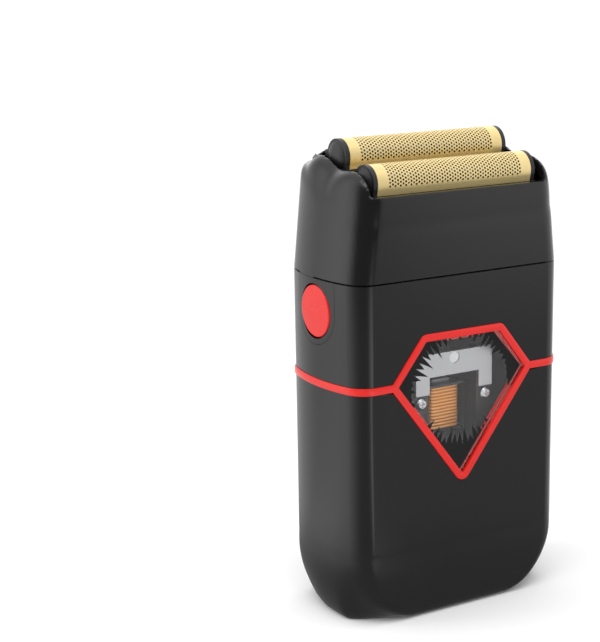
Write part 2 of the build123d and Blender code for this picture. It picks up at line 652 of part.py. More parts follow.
def chassis():
    """Inner frame: back plate, motor pads, spring posts and the battery saddle."""
    frame = block((-FRAME_HALF, FRAME_HALF), (FRAME_Y, FRAME_Y + FRAME_T), (FRAME_LOW, FRAME_TOP))
    pad = block((CORE_LEG_IN, CORE_LEG_OUT), (CORE_BACK, FRAME_Y + 0.5), (CORE_BASE_Z, CORE_LEG_TOP))
    seat_x = ARM_HALF + 0.05 + CENTRING_L
    post = block((seat_x, seat_x + 1.6), (DRIVE_Y - 2.5, FRAME_Y + 0.5), (CENTRING_Z - 2.5, CENTRING_Z + 2.5))
    frame += both_sides(pad) + both_sides(post)
    saddle_in = CELL_R + SADDLE_FIT
    saddle_out = saddle_in + SADDLE_T
    ring = rod_x(0, CELL_Z, saddle_out, -SADDLE_HALF, SADDLE_HALF) - rod_x(0, CELL_Z, saddle_in, -40, 40)
    ring &= block((-SADDLE_HALF, SADDLE_HALF), (-20, 20), (0, CELL_Z))
    wall = block((-SADDLE_HALF, SADDLE_HALF), (saddle_in, saddle_out), (CELL_Z, FRAME_LOW + FRAME_T))
    shelf = block((-SADDLE_HALF, SADDLE_HALF), (FRAME_Y, saddle_out), (FRAME_LOW, FRAME_LOW + FRAME_T))
    frame += ring + wall + shelf
    for x in (-PCB_HALF + 3, PCB_HALF - 3):
        for z in (PCB_LOW + 3, PCB_TOP - 3):
            frame += rod_y(x, z, 2.2, FRAME_Y + FRAME_T - 0.2, PCB_Y)
            frame -= rod_y(x, z, 0.8, FRAME_Y + 0.6, PCB_Y + 1)
    for x, z in FRAME_SCREWS:
        frame -= both_sides(rod_y(x, z, SCREW_R + 0.15, FRAME_Y - 1, FRAME_Y + FRAME_T + 1))
    for x in (-MOTOR_SCREW_X, MOTOR_SCREW_X):
        frame -= rod_y(x, MOTOR_SCREW_Z, SCREW_R + 0.05, CORE_BACK - 1, FRAME_Y + 0.4)
    return frame - rod_y(0, PIVOT_Z, SHAFT_R + SHAFT_FIT, FRAME_Y - 1, FRAME_Y + FRAME_T + 1)


def chassis_screws():
    screws = [
        pan_screw_y(way * x, z, SCREW_HEAD_R, FRAME_Y, INNER_Y - 2)
        for x, z in FRAME_SCREWS for way in (-1, 1)
    ]
    return group(screws)


def battery():
    cell = rod_x(0, CELL_Z, CELL_R, -CELL_L / 2, CELL_L / 2)
    return fillet(cell.edges().filter_by(GeomType.CIRCLE), 0.6)


def battery_tabs():
    tabs = []
    for way in (-1, 1):
        x = sorted((way * CELL_L / 2, way * (CELL_L / 2 + 0.3)))
        tabs.append(block(x, (-2.5, 2.5), (CELL_Z - 3, CELL_Z + CELL_R + 1.2)))
    return group(tabs)


def main_pcb():
    board = block((-PCB_HALF, PCB_HALF), (PCB_Y, PCB_BACK), (PCB_LOW, PCB_TOP))
    board = fillet(board.edges().filter_by(Axis.Y), 1.5)
    for x in (-PCB_HALF + 3, PCB_HALF - 3):
        for z in (PCB_LOW + 3, PCB_TOP - 3):
            board -= rod_y(x, z, 0.95, PCB_Y - 1, PCB_BACK + 1)
    return board


def pcb_screws():
    screws = []
    for x in (-PCB_HALF + 3, PCB_HALF - 3):
        for z in (PCB_LOW + 3, PCB_TOP - 3):
            head = rod_y(x, z, 1.6, PCB_BACK, PCB_BACK + 1.0)
            screws.append(head + rod_y(x, z, 0.75, FRAME_Y + 0.8, PCB_BACK))
    return group(screws)


def pcb_components():
    """Controller, charge chip, inductor and capacitors soldered to the board's back."""
    back = PCB_BACK
    parts = [
        block((-10, -4), (back, back + 1.0), (56, 62)),
        block((4, 9), (back, back + 1.1), (57, 62)),
        block((-12, -7), (back, back + 2.0), (40, 45)),
        rod_y(9.5, 43, 2.4, back, back + 2.6),
        rod_y(9.5, 51, 1.8, back, back + 2.6),
    ]
    for step in range(5):
        z = 52 + 2.6 * step
        parts.append(block((-0.8, 0.8), (back, back + 0.5), (z + 2, z + 2.9)))
    return group(parts)


def power_switch():
    """Push switch on the board, behind the power button."""
    body = block((-3, 3), (PCB_BACK, PCB_BACK + 1.2), (POWER_Z - 3, POWER_Z + 3))
    return body + rod_y(0, POWER_Z, 1.6, PCB_BACK + 1.0, PCB_BACK + 1.7)


def power_button():
    cap = rod_y(0, POWER_Z, POWER_R, INNER_Y - 0.6, HALF_D + TRIM_PROUD)
    cap = fillet(cap.faces().sort_by(Axis.Y)[-1].edges(), 0.4)
    flange = rod_y(0, POWER_Z, POWER_R + 1.2, INNER_Y - 1.5, INNER_Y - 0.3)
    return cap + flange


def status_light():
    pipe = rod_y(0, LIGHT_Z, LIGHT_R, INNER_Y - 0.8, HALF_D)
    return pipe + rod_y(0, LIGHT_Z, LIGHT_R + 0.8, PCB_BACK, INNER_Y - 0.6)


def charging_socket():
    outer = SlotOverall(SOCKET_W, SOCKET_D)
    inner = SlotOverall(SOCKET_W - 2 * SOCKET_WALL, SOCKET_D - 2 * SOCKET_WALL)
    shell = along_z(outer, SOCKET_LOW, SOCKET_TOP)
    return shell - along_z(inner, SOCKET_LOW - 1, SOCKET_TOP - 0.9)


def socket_tongue():
    return block((-3.3, 3.3), (-0.35, 0.35), (SOCKET_LOW + 0.7, SOCKET_TOP - 0.9))


def charge_board():
    return block((-8.2, 8.2), (SOCKET_D / 2 + 0.1, SOCKET_D / 2 + 1.1), (SOCKET_LOW + 2.1, SOCKET_TOP))


def charge_flex():
    """Flat cable from the charge board up behind the battery to the main board."""
    near = SOCKET_D / 2 + 1.1
    rise = CELL_R + SADDLE_FIT + SADDLE_T + 1.2
    cable = block((-2.5, 2.5), (near, rise + 0.3), (5.2, 5.5))
    cable += block((-2.5, 2.5), (rise, rise + 0.3), (5.2, PCB_LOW + 1.8))
    return cable + block((-2.5, 2.5), (PCB_BACK, rise + 0.3), (PCB_LOW + 1.5, PCB_LOW + 1.8))


# ---- head ------------------------------------------------------------------------------------------------
POCKET_HALF = FOIL_HALF + FRAME_END_GAP + DOME_L + POCKET_GAP
FLARE = FOIL_LEG * tan(radians(FOIL_FLARE))
POCKET_U = FOIL_PITCH / 2 + RAIL_IN + RAIL_W + 0.4
FOIL_FRONT_Y = FOIL_MID[0] - (FOIL_PITCH / 2 + FOIL_R + FLARE) * cos(radians(TILT))


def head_housing():
    shell = head_form(0) - head_form(WALL)
    shell -= along_z(body_plan(WALL), SEAM_Z - 1, SEAM_Z + 0.5)
    pocket = tilted(block((-POCKET_HALF, POCKET_HALF), (-POCKET_U, POCKET_U), (-8, 20)))
    front_y = FOIL_FRONT_Y - POCKET_GAP
    pocket += block((-POCKET_HALF, POCKET_HALF), (front_y, FOIL_MID[0] + POCKET_GAP), (SEAM_Z + 8, 140))
    pocket += block((-POCKET_HALF, POCKET_HALF), (-HALF_D - 2, -8), (HEAD_FRONT_Z, 140))
    pocket += tilted(block((-REAR_OPENING, REAR_OPENING), (POCKET_U - 1, 40), (-0.9, 20)))
    shell -= pocket
    for side in SIDES.values():
        ends = sorted((side * RIB_FACE, side * (HALF_W - WALL + 0.2)))
        rib = block(ends, (-RIB_HALF, RIB_HALF), (RIB_Z, RIB_Z + RIB_T))
        shell += rib & head_form(WALL / 2)
        x = sorted((side * (HALF_W - 10), side * (HALF_W + 5)))
        shell -= block(x, (0, INSERT_HALF + GAP), (SEAM_Z - 1, SEAM_Z + INSERT_STEP + 0.15))
    return shell


def foil_cradle(side):
    """End bracket inside the head: a shelf for the foil springs and an end wall."""
    inner_x = FOIL_HALF - 0.9
    wall_x = POCKET_HALF + 0.3
    shelf = block((inner_x, 40), (-POCKET_U - 1, POCKET_U + 1), (SHELF_V - SHELF_T, SHELF_V))
    wall = block((wall_x, wall_x + 1.4), (-POCKET_U - 1, POCKET_U + 1), (SHELF_V - 0.2, 10))
    cradle = tilted(shelf + wall) & head_form(WALL + 0.05)
    return cradle if side > 0 else mirror(cradle, about=Plane.YZ)


def foil_arc(radius, leg):
    """The foil's outline in (u, v): an arch on two legs that flare outwards."""
    flare = leg * tan(radians(FOIL_FLARE))
    arch = make_face([
        ThreePointArc((-radius, 0), (0, radius), (radius, 0)),
        Line((radius, 0), (radius + flare, -leg)),
        Line((radius + flare, -leg), (-radius - flare, -leg)),
        Line((-radius - flare, -leg), (-radius, 0)),
    ])
    return arch


def foil(place):
    outer = along_x(foil_arc(FOIL_R, FOIL_LEG), -FOIL_HALF, FOIL_HALF)
    inner = along_x(foil_arc(FOIL_R - FOIL_T, FOIL_LEG + 0.5), -FOIL_HALF - 1, FOIL_HALF + 1)
    return tilted(Pos(0, FOIL_U[place], 0) * (outer - inner))


def foil_frame(place):
    """Cage that holds the foil's ends, with a rail under each long edge."""
    x0 = FOIL_HALF + FRAME_END_GAP
    low = RAIL_TOP - RAIL_T
    out = RAIL_IN + RAIL_W
    end = foil_arc(FOIL_R, FOIL_LEG) + Pos(0, (low - FOIL_LEG) / 2 + 0.1) * Rectangle(2 * out, FOIL_LEG - low + 0.2 - 2)
    end += Pos(0, (low + RAIL_TOP) / 2) * Rectangle(2 * out, RAIL_T)
    frame = along_x(end, x0, x0 + FRAME_END_T)
    radius = FOIL_R - DOME_IN
    dome = Ellipse(DOME_L, radius) & Pos(DOME_L / 2, radius / 2) * Rectangle(DOME_L, radius)
    dome = Pos(x0, 0, 0) * revolve(Plane.XZ * dome, Axis.X)
    frame += dome & block((x0, x0 + DOME_L), (-radius, radius), (low, radius))
    frame = both_sides(frame)
    for way in (-1, 1):
        rail = block((-x0 - 0.5, x0 + 0.5), sorted((way * RAIL_IN, way * out)), (low, RAIL_TOP))
        frame += rail
    return tilted(Pos(0, FOIL_U[place], 0) * frame)


def foil_springs(place):
    """One small spring under each end of the foil cage."""
    x = FOIL_HALF + FRAME_END_GAP + FRAME_END_T / 2
    top = RAIL_TOP - RAIL_T
    springs = []
    for way in (-1, 1):
        tube = rod_z(way * x, 0, 1.1, SHELF_V, top) - rod_z(way * x, 0, 0.7, SHELF_V - 1, top + 1)
        springs.append(tilted(Pos(0, FOIL_U[place], 0) * tube))
    return group(springs)


# ---- cutters ---------------------------------------------------------------------------------------------
BLADE_R = FOIL_R - FOIL_T - CUTTER_GAP


def cutter_arc(radius):
    """A half disc standing on a short straight skirt."""
    skirt = Pos(0, BLADE_BASE / 2) * Rectangle(2 * radius, -BLADE_BASE)
    half = Circle(radius) & Pos(0, radius) * Rectangle(4 * radius, 2 * radius)
    return half + skirt


def cutter_blades(place):
    """A row of thin arched blades on one core."""
    stack = along_x(cutter_arc(CORE_R), -CUTTER_HALF, CUTTER_HALF)
    count = int(2 * (CUTTER_HALF - BLADE_T) / BLADE_PITCH)
    blade = cutter_arc(BLADE_R)
    plates = []
    for step in range(count + 1):
        x = (step - count / 2) * BLADE_PITCH
        plates.append(along_x(blade, x - BLADE_T / 2, x + BLADE_T / 2))
    return tilted(Pos(0, FOIL_U[place], 0) * stack.fuse(*plates))


def cutter_carrier(place):
    carrier = block((-CUTTER_HALF, CUTTER_HALF), (-CARRIER_HALF, CARRIER_HALF), (CARRIER_LOW, BLADE_BASE))
    carrier = chamfer(carrier.edges().filter_by(Axis.X).group_by(Axis.Z)[0], 0.6)
    for x in (-POST_X, POST_X):
        carrier -= rod_z(x, 0, POST_R + POST_RUN, CARRIER_LOW - 1, POST_TOP + FOIL_FLOAT + 0.4)
    return tilted(Pos(0, FOIL_U[place], 0) * carrier)


def cutter_springs(place):
    low = CARRIAGE_V + CARRIAGE_T
    springs = []
    for x in (-POST_X, POST_X):
        tube = rod_z(x, 0, POST_R + 0.8, low, CARRIER_LOW)
        tube -= rod_z(x, 0, POST_R + 0.2, low - 1, CARRIER_LOW + 1)
        springs.append(tilted(Pos(0, FOIL_U[place], 0) * tube))
    return group(springs)


def carriage():
    """Slides from side to side under both cutters, driven by the ball of the lever."""
    plate = block((-CARRIAGE_HALF, CARRIAGE_HALF), (-CARRIAGE_U, CARRIAGE_U), (CARRIAGE_V, CARRIAGE_V + CARRIAGE_T))
    for u in FOIL_U.values():
        for x in (-POST_X, POST_X):
            plate += Pos(0, u, 0) * rod_z(x, 0, POST_R, CARRIAGE_V + 0.5, POST_TOP)
    body = tilted(plate)
    below = tilted(block((-30, 30), (-30, 30), (-40, CARRIAGE_V + 0.2)))
    ball_z = PIVOT_Z + LEVER
    boss = block((-3.4, 3.4), (DRIVE_Y - 3.2, DRIVE_Y + 3.2), (ball_z - 1.6, ball_z + 12))
    foot = block((FLEXURE_X - FOOT_HALF, FLEXURE_X + FOOT_HALF), (-1, 5), (FLEXURE_TOP, FLEXURE_TOP + 12))
    body += (boss + both_sides(foot)) & below
    slot = BALL_R + BALL_RUN
    body -= block((-slot, slot), (DRIVE_Y - 2.2, DRIVE_Y + 2.2), (ball_z - 3, ball_z + BALL_R + 0.5))
    return body


def carriage_flexures():
    strip = block((FLEXURE_X - FLEXURE_T / 2, FLEXURE_X + FLEXURE_T / 2), (-1, 5), (DECK_TOP, FLEXURE_TOP))
    return group([strip, mirror(strip, about=Plane.YZ)])


# ---- write every node --------------------------------------------------------------------------------------
def nodes():
    yield "lower_housing", lower_housing()
    yield "upper_housing", upper_housing()
    yield "trim_bezel", trim_bezel()
    yield "window_lens", window_lens()
    yield "window_mask", window_mask()
    for name, side in SIDES.items():
        yield "button_insert_" + name, button_insert(side)
        yield "release_button_" + name, release_button(side)
        yield "latch_hook_" + name, latch_hook(side)
        yield "latch_spring_" + name, latch_spring(side)
        yield "foil_cradle_" + name, foil_cradle(side)
    yield "top_deck", top_deck()
    yield "deck_screws", deck_screws()
    yield "dust_seal", dust_seal()
    yield "stator_core", stator_core()
    yield "coil_bobbin", coil_bobbin()
    yield "coil_winding", coil_winding()
    yield "motor_front_plate", motor_front_plate()
    yield "motor_bracket", motor_bracket()
    yield "motor_screws", motor_screws()
    yield "pivot_shaft", pivot_shaft()
    yield "armature", armature()
    yield "armature_magnets", armature_magnets()
    yield "drive_pin", drive_pin()
    yield "centring_springs", centring_springs()
    yield "chassis", chassis()
    yield "chassis_screws", chassis_screws()
    yield "battery", battery()
    yield "battery_tabs", battery_tabs()
    yield "main_pcb", main_pcb()
    yield "pcb_screws", pcb_screws()
    yield "pcb_components", pcb_components()
    yield "power_switch", power_switch()
    yield "power_button", power_button()
    yield "status_light", status_light()
    yield "charging_socket", charging_socket()
    yield "socket_tongue", socket_tongue()
    yield "charge_board", charge_board()
    yield "charge_flex", charge_flex()
    yield "head_housing", head_housing()
    for place in FOIL_U:
        yield "foil_" + place, foil(place)
        yield "foil_frame_" + place, foil_frame(place)
        yield "foil_springs_" + place, foil_springs(place)
        yield "cutter_blades_" + place, cutter_blades(place)
        yield "cutter_carrier_" + place, cutter_carrier(place)
        yield "cutter_springs_" + place, cutter_springs(place)
    yield "carriage", carriage()
    yield "carriage_flexures", carriage_flexures()


os.makedirs("parts", exist_ok=True)
for node_name, node_shape in nodes():
    solids = node_shape.solids()
    export_step(solids[0] if len(solids) == 1 else Compound(solids), "parts/" + node_name + ".step")
    print(node_name, len(solids))
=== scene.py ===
import json
from math import cos, pi, radians, sin

import bmesh
import bpy
from mathutils import Matrix, Vector

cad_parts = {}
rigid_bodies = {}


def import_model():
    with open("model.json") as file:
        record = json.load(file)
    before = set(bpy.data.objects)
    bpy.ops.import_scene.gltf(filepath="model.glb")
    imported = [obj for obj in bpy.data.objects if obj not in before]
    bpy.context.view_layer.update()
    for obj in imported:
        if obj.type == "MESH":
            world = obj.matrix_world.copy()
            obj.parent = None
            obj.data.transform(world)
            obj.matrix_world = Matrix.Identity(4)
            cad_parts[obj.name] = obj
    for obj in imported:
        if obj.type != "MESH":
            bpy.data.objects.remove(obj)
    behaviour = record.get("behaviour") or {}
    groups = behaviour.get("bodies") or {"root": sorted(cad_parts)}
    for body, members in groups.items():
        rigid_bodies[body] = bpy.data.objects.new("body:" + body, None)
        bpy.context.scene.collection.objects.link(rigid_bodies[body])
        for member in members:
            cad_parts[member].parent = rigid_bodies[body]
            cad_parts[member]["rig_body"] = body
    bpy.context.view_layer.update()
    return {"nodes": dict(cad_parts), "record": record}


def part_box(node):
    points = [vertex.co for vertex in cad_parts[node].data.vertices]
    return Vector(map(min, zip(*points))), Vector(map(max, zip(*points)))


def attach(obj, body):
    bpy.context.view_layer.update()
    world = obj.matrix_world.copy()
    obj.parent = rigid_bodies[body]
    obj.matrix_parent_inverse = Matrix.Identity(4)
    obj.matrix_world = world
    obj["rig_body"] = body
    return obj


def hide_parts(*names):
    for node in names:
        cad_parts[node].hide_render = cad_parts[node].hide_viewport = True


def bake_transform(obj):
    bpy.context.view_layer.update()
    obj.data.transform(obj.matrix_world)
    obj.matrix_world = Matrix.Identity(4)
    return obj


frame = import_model()

# Double-foil shaver. Metres, +Z up, front face towards -Y, as the frame has it.
MM = 0.001
WELD = 0.002 * MM               # corners of a CAD mesh this close are one corner

# body
HALF_WIDTH = 33 * MM
HALF_DEPTH = 16.7 * MM
BOTTOM_RISE = 20 * MM           # the sides start to round under this high up
BOTTOM_DRAW_IN = 4.4 * MM       # and draw in this far by the floor, at mid depth
SOCKET_CLEAR = 7 * MM           # nothing moves nearer the middle than this, where the socket is
FULL_DEPTH = (-7 * MM, 0.0)     # the sides are at their fullest between these depths
REAR_EASE = 0.5                 # and this much less full at the very back
TRIM_EDGE = 0.22 * MM           # roundings of the red trim and of the side buttons
BUTTON_EDGE = 0.3 * MM
SHARP_FROM = radians(35)        # a CAD edge that turns by more than this is an edge to round or keep
CREASE_FROM = radians(50)       # and one on a finished piece shows as a crease past this

# foils
TILT = radians(22)              # the foils lean forward together
FOIL_AXIS = Vector((0, -sin(TILT), cos(TILT)))
FOIL_R = 4.5 * MM
FOIL_LEG = 1.0 * MM             # how far the sheet runs down past its half circle
FOIL_SHEET = 0.14 * MM
FOIL_FLARE = radians(15)
HOLE_R = 0.31 * MM
FOIL_COLUMNS = 30               # pairs of hole columns, the second half a row lower
FOIL_ROWS = 18
END_MARGIN = 2                  # plain pairs at each end
EDGE_MARGIN = 2                 # plain rows along each lower edge
CELLS = ("Holed", "Plain", "Top row", "Bottom row")

# springs: length, outer radius, wire radius, turns
FOIL_SPRING = (3.05 * MM, 1.1 * MM, 0.17 * MM, 4.5)
CUTTER_SPRING = (5.2 * MM, 2.0 * MM, 0.17 * MM, 5.5)
CENTRING_LENGTH, CENTRING_WIRE_R, CENTRING_TURNS = 4.55 * MM, 0.18 * MM, 6.5
LATCH_WIRE_R, LATCH_TURNS = 0.25 * MM, 4.5
SPRING_STEPS, SPRING_SIDES = 22, 8   # straight pieces in one turn, and round the wire

# drive coil
WIRE_R = 0.43 * MM              # enamelled wire
COIL_TURNS = 13
COIL_CORNER = 1.1 * MM
CORNER_STEPS, WIRE_SIDES = 5, 10

# window mask
MASK_CENTRE_Z = 58.7 * MM
MASK_RING_R = 15.0 * MM
MASK_RING_WANDER = 0.3 * MM     # the ring is uneven by this much
MASK_POINTS = 54
TOOTH_PARTS = (0.0, 0.22, 0.5, 0.78)    # corners of one tooth, as shares of its width
WAIST_SHARE = 0.711             # the window is widest this far up, as a share of its height
SHOULDER_SHARE = 0.54           # and its flat top this wide, as a share of its width
# how long the teeth are against the angle round the ring, in degrees from the right
MASK_TEETH = [(-180, 1.0), (-158, 1.2), (-145, 4.0), (-120, 4.8), (-70, 4.6), (-38, 3.2), (-28, 0.5), (18, 0.5),
              (30, 2.6), (60, 4.4), (80, 3.0), (105, 3.4), (120, 5.2), (158, 5.0), (172, 2.0), (180, 1.0)]

# head shell, in millimetres, as its field of distances works in them
SEAM_Z = 87.9
SEAM_GAP = 0.42                 # the dark line left over the body
FOOT_SPARE = 1.8                # drawn this far past the seam, then cut off square
HEAD_LOW, HEAD_HIGH = (-34.2, -17.4, 84.95), (34.2, 17.4, 121.55)
VOXEL = 0.6
HEAD_WALL = 2.0
HEAD_MID = (-2.95, 114.0)       # the middle of the two foils, along Y and Z
HEAD_HALF_WIDTH, HEAD_HALF_DEPTH = 33.0, 16.7
SIDE_LEAN = 0.105               # each side leans in by this share of its height
SIDE_BOW_R = 45.35
CORNER_R = 6.18
CORNER_CENTRE = (7.65, 10.63)   # in from the side, and out from the middle of the depth
CORNER_SLOPES = (0.19, 0.281)   # the corner strip runs between these directions from its centre
BLOCK_TOP = 118.0
BLOCK_V = -6.5
# each hump's middle u, base v, half width, height, how far out it runs level and where it comes down
HUMPS = [(-7.8, -5.5, 10.8, 9.3, 22.5, 32.2), (6.2, -6.5, 10.2, 8.2, 18.0, 31.0)]
HUMP_BLEND, BLOCK_BLEND, MASS_BLEND, EDGE_BLEND, OPENING_BLEND = 6.0, 2.0, 4.0, 3.0, 0.5
POCKET_HALF = 25.8
POCKET_U, POCKET_V = (-12.4, 12.4), (-8, 40)
THROAT_Y, THROAT_Z = (-14.1, -2.35), (96, 160)
FRONT_RIM_Y, FRONT_RIM_Z = (-40, -8), (109, 160)
REAR_RIM_HALF, REAR_RIM_U, REAR_RIM_V = 21.8, (11.4, 60), (-0.9, 60)
CRADLE_TOP = -2.0               # the end brackets are cut down to this v
CRADLE_SLOPE_FROM = 26.0        # and their tops fall away from here outwards
CRADLE_SLOPE = 1.6
HEAD_CREASE_FROM = radians(42)

# studio, in metres, with the camera's turn and tilt in degrees
CAMERA_TURN, CAMERA_TILT, CAMERA_DISTANCE = -34.0, 14.83, 0.4405
CAMERA_TARGET = Vector((0, 0, 0.060))
CAMERA_LENS, CAMERA_SHIFT = 95.4, (-0.1957, 0.0753)
LAMP_TARGET = (0, 0, 0.06)
BOWL_PROFILE = [(4, 0.4), (120, 0.5), (190, 1.0), (205, 12.0), (210, 60.0), (210, 150.0), (200, 330.0)]
BOWL_SIDES = 72
# glow of the reflection bowl against the turn round it, low down and higher up
LOW_GLOW = [(0.0, 1.0), (0.06, 0.5), (0.10, 0.25), (0.19, 0.22), (0.215, 0.7), (0.230, 1.9), (0.250, 1.9),
            (0.264, 0.6), (0.290, 0.40), (0.38, 0.42), (0.5, 0.8), (0.60, 1.7), (0.72, 1.7), (0.80, 0.8),
            (0.86, 0.7), (0.93, 1.3), (1.0, 1.0)]
HIGH_GLOW = [(0.0, 0.7), (0.05, 0.05), (0.285, 0.0), (0.31, 0.5), (0.335, 0.95), (0.40, 0.95), (0.5, 1.0),
             (0.60, 1.6), (0.72, 1.6), (0.80, 0.8), (0.86, 0.8), (0.93, 1.6), (1.0, 0.7)]
NEAR_GLOW = 0.28                # the bowl's floor close to the shaver
LOW_TO_HIGH = (0.025, 0.075)    # heights between which the one glow turns into the other
NEAR_TO_FAR = (0.04, 0.10)      # and distances, on the bowl's floor


# ---- node trees
def put(tree, kind, *values, **settings):
    """Adds a node. Values fill its inputs in order: sockets are linked, None leaves one alone."""
    node = tree.nodes.new(kind)
    for name, value in settings.items():
        setattr(node, name, value)
    live = [socket for socket in node.inputs if socket.enabled]
    for socket, value in zip(live, values):
        if isinstance(value, bpy.types.NodeSocket):
            tree.links.new(value, socket)
        elif value is not None:
            socket.default_value = value
    return node


def first(node):
    """The node's first output in use."""
    return next(socket for socket in node.outputs if socket.enabled)


def maths(tree, operation, a, b=None, clamp=False):
    return first(put(tree, "ShaderNodeMath", a, b, operation=operation, use_clamp=clamp))


def group_with(name, kind, inputs, outputs):
    """A node group with named inputs [(name, socket type, default)] and outputs [(name, type)]."""
    tree = bpy.data.node_groups.new(name, kind)
    for label, socket, default in inputs:
        made = tree.interface.new_socket(name=label, in_out="INPUT", socket_type=socket)
        if default is not None:
            made.default_value = default
    for label, socket in outputs:
        tree.interface.new_socket(name=label, in_out="OUTPUT", socket_type=socket)
    given = tree.nodes.new("NodeGroupInput").outputs
    result = tree.nodes.new("NodeGroupOutput").inputs
    return tree, given, result


# ---- effects that several finishes share
def grain_group():
    """Fine moulded texture: a height that the finishes feed to Bump."""
    tree, given, result = group_with(
        "moulded_grain", "ShaderNodeTree",
        [("Scale", "NodeSocketFloat", 3000.0), ("Coarse", "NodeSocketFloat", 0.3)],
        [("Height", "NodeSocketFloat")])
    place = tree.nodes.new("ShaderNodeTexCoord").outputs["Object"]
    fine = put(tree, "ShaderNodeTexNoise", place, given["Scale"], 2.0)
    broad_scale = maths(tree, "MULTIPLY", given["Scale"], 0.12)
    broad = put(tree, "ShaderNodeTexNoise", place, broad_scale, 2.0)
    swell = maths(tree, "MULTIPLY", broad.outputs[0], given["Coarse"])
    tree.links.new(maths(tree, "ADD", fine.outputs[0], swell), result["Height"])
    return tree


def handling_group():
    """Faint wiping marks: a roughness that wanders round its middle value."""
    tree, given, result = group_with(
        "handling_marks", "ShaderNodeTree",
        [("Roughness", "NodeSocketFloat", 0.3), ("Spread", "NodeSocketFloat", 0.05),
         ("Scale", "NodeSocketFloat", 60.0)],
        [("Roughness", "NodeSocketFloat")])
    place = tree.nodes.new("ShaderNodeTexCoord").outputs["Object"]
    cloud = put(tree, "ShaderNodeTexNoise", place, given["Scale"], 3.0)
    swing = maths(tree, "SUBTRACT", cloud.outputs[0], 0.5)
    offset = maths(tree, "MULTIPLY", swing, given["Spread"])
    total = maths(tree, "ADD", given["Roughness"], maths(tree, "MULTIPLY", offset, 2.0), clamp=True)
    tree.links.new(total, result["Roughness"])
    return tree


def tone_group():
    """Slow drift of a colour towards a second one."""
    tree, given, result = group_with(
        "tone_drift", "ShaderNodeTree",
        [("Color", "NodeSocketColor", None), ("Second", "NodeSocketColor", None),
         ("Scale", "NodeSocketFloat", 80.0), ("Share", "NodeSocketFloat", 0.5)],
        [("Color", "NodeSocketColor")])
    place = tree.nodes.new("ShaderNodeTexCoord").outputs["Object"]
    cloud = put(tree, "ShaderNodeTexNoise", place, given["Scale"], 3.0)
    share = maths(tree, "MULTIPLY", cloud.outputs[0], given["Share"], clamp=True)
    blend = put(tree, "ShaderNodeMix", share, given["Color"], given["Second"], data_type="RGBA")
    tree.links.new(first(blend), result["Color"])
    return tree


def brushed_group():
    """Fine lines along one axis, as on drawn wire and brushed sheet."""
    tree, given, result = group_with(
        "brushed_lines", "ShaderNodeTree",
        [("Stretch", "NodeSocketVector", (200.0, 6000.0, 6000.0)), ("Roughness", "NodeSocketFloat", 0.3),
         ("Spread", "NodeSocketFloat", 0.1)],
        [("Height", "NodeSocketFloat"), ("Roughness", "NodeSocketFloat")])
    place = tree.nodes.new("ShaderNodeTexCoord").outputs["Object"]
    stretched = put(tree, "ShaderNodeVectorMath", place, given["Stretch"], operation="MULTIPLY")
    lines = put(tree, "ShaderNodeTexNoise", first(stretched), 1.0, 2.0)
    swing = maths(tree, "SUBTRACT", lines.outputs[0], 0.5)
    offset = maths(tree, "MULTIPLY", swing, given["Spread"])
    tree.links.new(lines.outputs[0], result["Height"])
    tree.links.new(maths(tree, "ADD", given["Roughness"], offset, clamp=True), result["Roughness"])
    return tree


GRAIN = grain_group()
HANDLING = handling_group()
TONE = tone_group()
BRUSHED = brushed_group()


# ---- finishes
def shade(red, green, blue):
    return (red, green, blue, 1.0)


def use(tree, group, **values):
    """Places a shared effect in a material with its own values."""
    node = tree.nodes.new("ShaderNodeGroup")
    node.node_tree = group
    for name, value in values.items():
        node.inputs[name.replace("_", " ")].default_value = value
    return node


def bare_finish(name):
    """A new material with its node tree and its surface shader."""
    finish = bpy.data.materials.new(name)
    finish.use_nodes = True
    tree = finish.node_tree
    surface = tree.nodes["Principled BSDF"]
    return finish, tree, surface


def plastic(name, colour, second, roughness, spread=0.03, grain=(2600.0, 0.3), bump=0.05, specular=0.5):
    """Moulded plastic: drifting tone, wiped gloss and a fine moulded grain."""
    finish, tree, surface = bare_finish(name)
    surface.inputs["Specular IOR Level"].default_value = specular
    tone = use(tree, TONE, Color=colour, Second=second, Scale=55.0, Share=0.8)
    tree.links.new(tone.outputs["Color"], surface.inputs["Base Color"])
    gloss = use(tree, HANDLING, Roughness=roughness, Spread=spread, Scale=70.0)
    tree.links.new(gloss.outputs["Roughness"], surface.inputs["Roughness"])
    height = use(tree, GRAIN, Scale=grain[0], Coarse=grain[1]).outputs["Height"]
    bumped = put(tree, "ShaderNodeBump", bump, 0.02 * MM)
    tree.links.new(height, bumped.inputs["Height"])
    tree.links.new(bumped.outputs["Normal"], surface.inputs["Normal"])
    return finish


def metal(name, colour, second, roughness, stretch=(6000.0, 200.0, 6000.0), spread=0.12, bump=0.06,
          metallic=1.0):
    """Metal with fine drawn or brushed lines and a slight change of tone."""
    finish, tree, surface = bare_finish(name)
    surface.inputs["Metallic"].default_value = metallic
    tone = use(tree, TONE, Color=colour, Second=second, Scale=140.0, Share=0.7)
    tree.links.new(tone.outputs["Color"], surface.inputs["Base Color"])
    lines = use(tree, BRUSHED, Stretch=stretch, Roughness=roughness, Spread=spread)
    tree.links.new(lines.outputs["Roughness"], surface.inputs["Roughness"])
    bumped = put(tree, "ShaderNodeBump", bump, 0.01 * MM)
    tree.links.new(lines.outputs["Height"], bumped.inputs["Height"])
    tree.links.new(bumped.outputs["Normal"], surface.inputs["Normal"])
    return finish


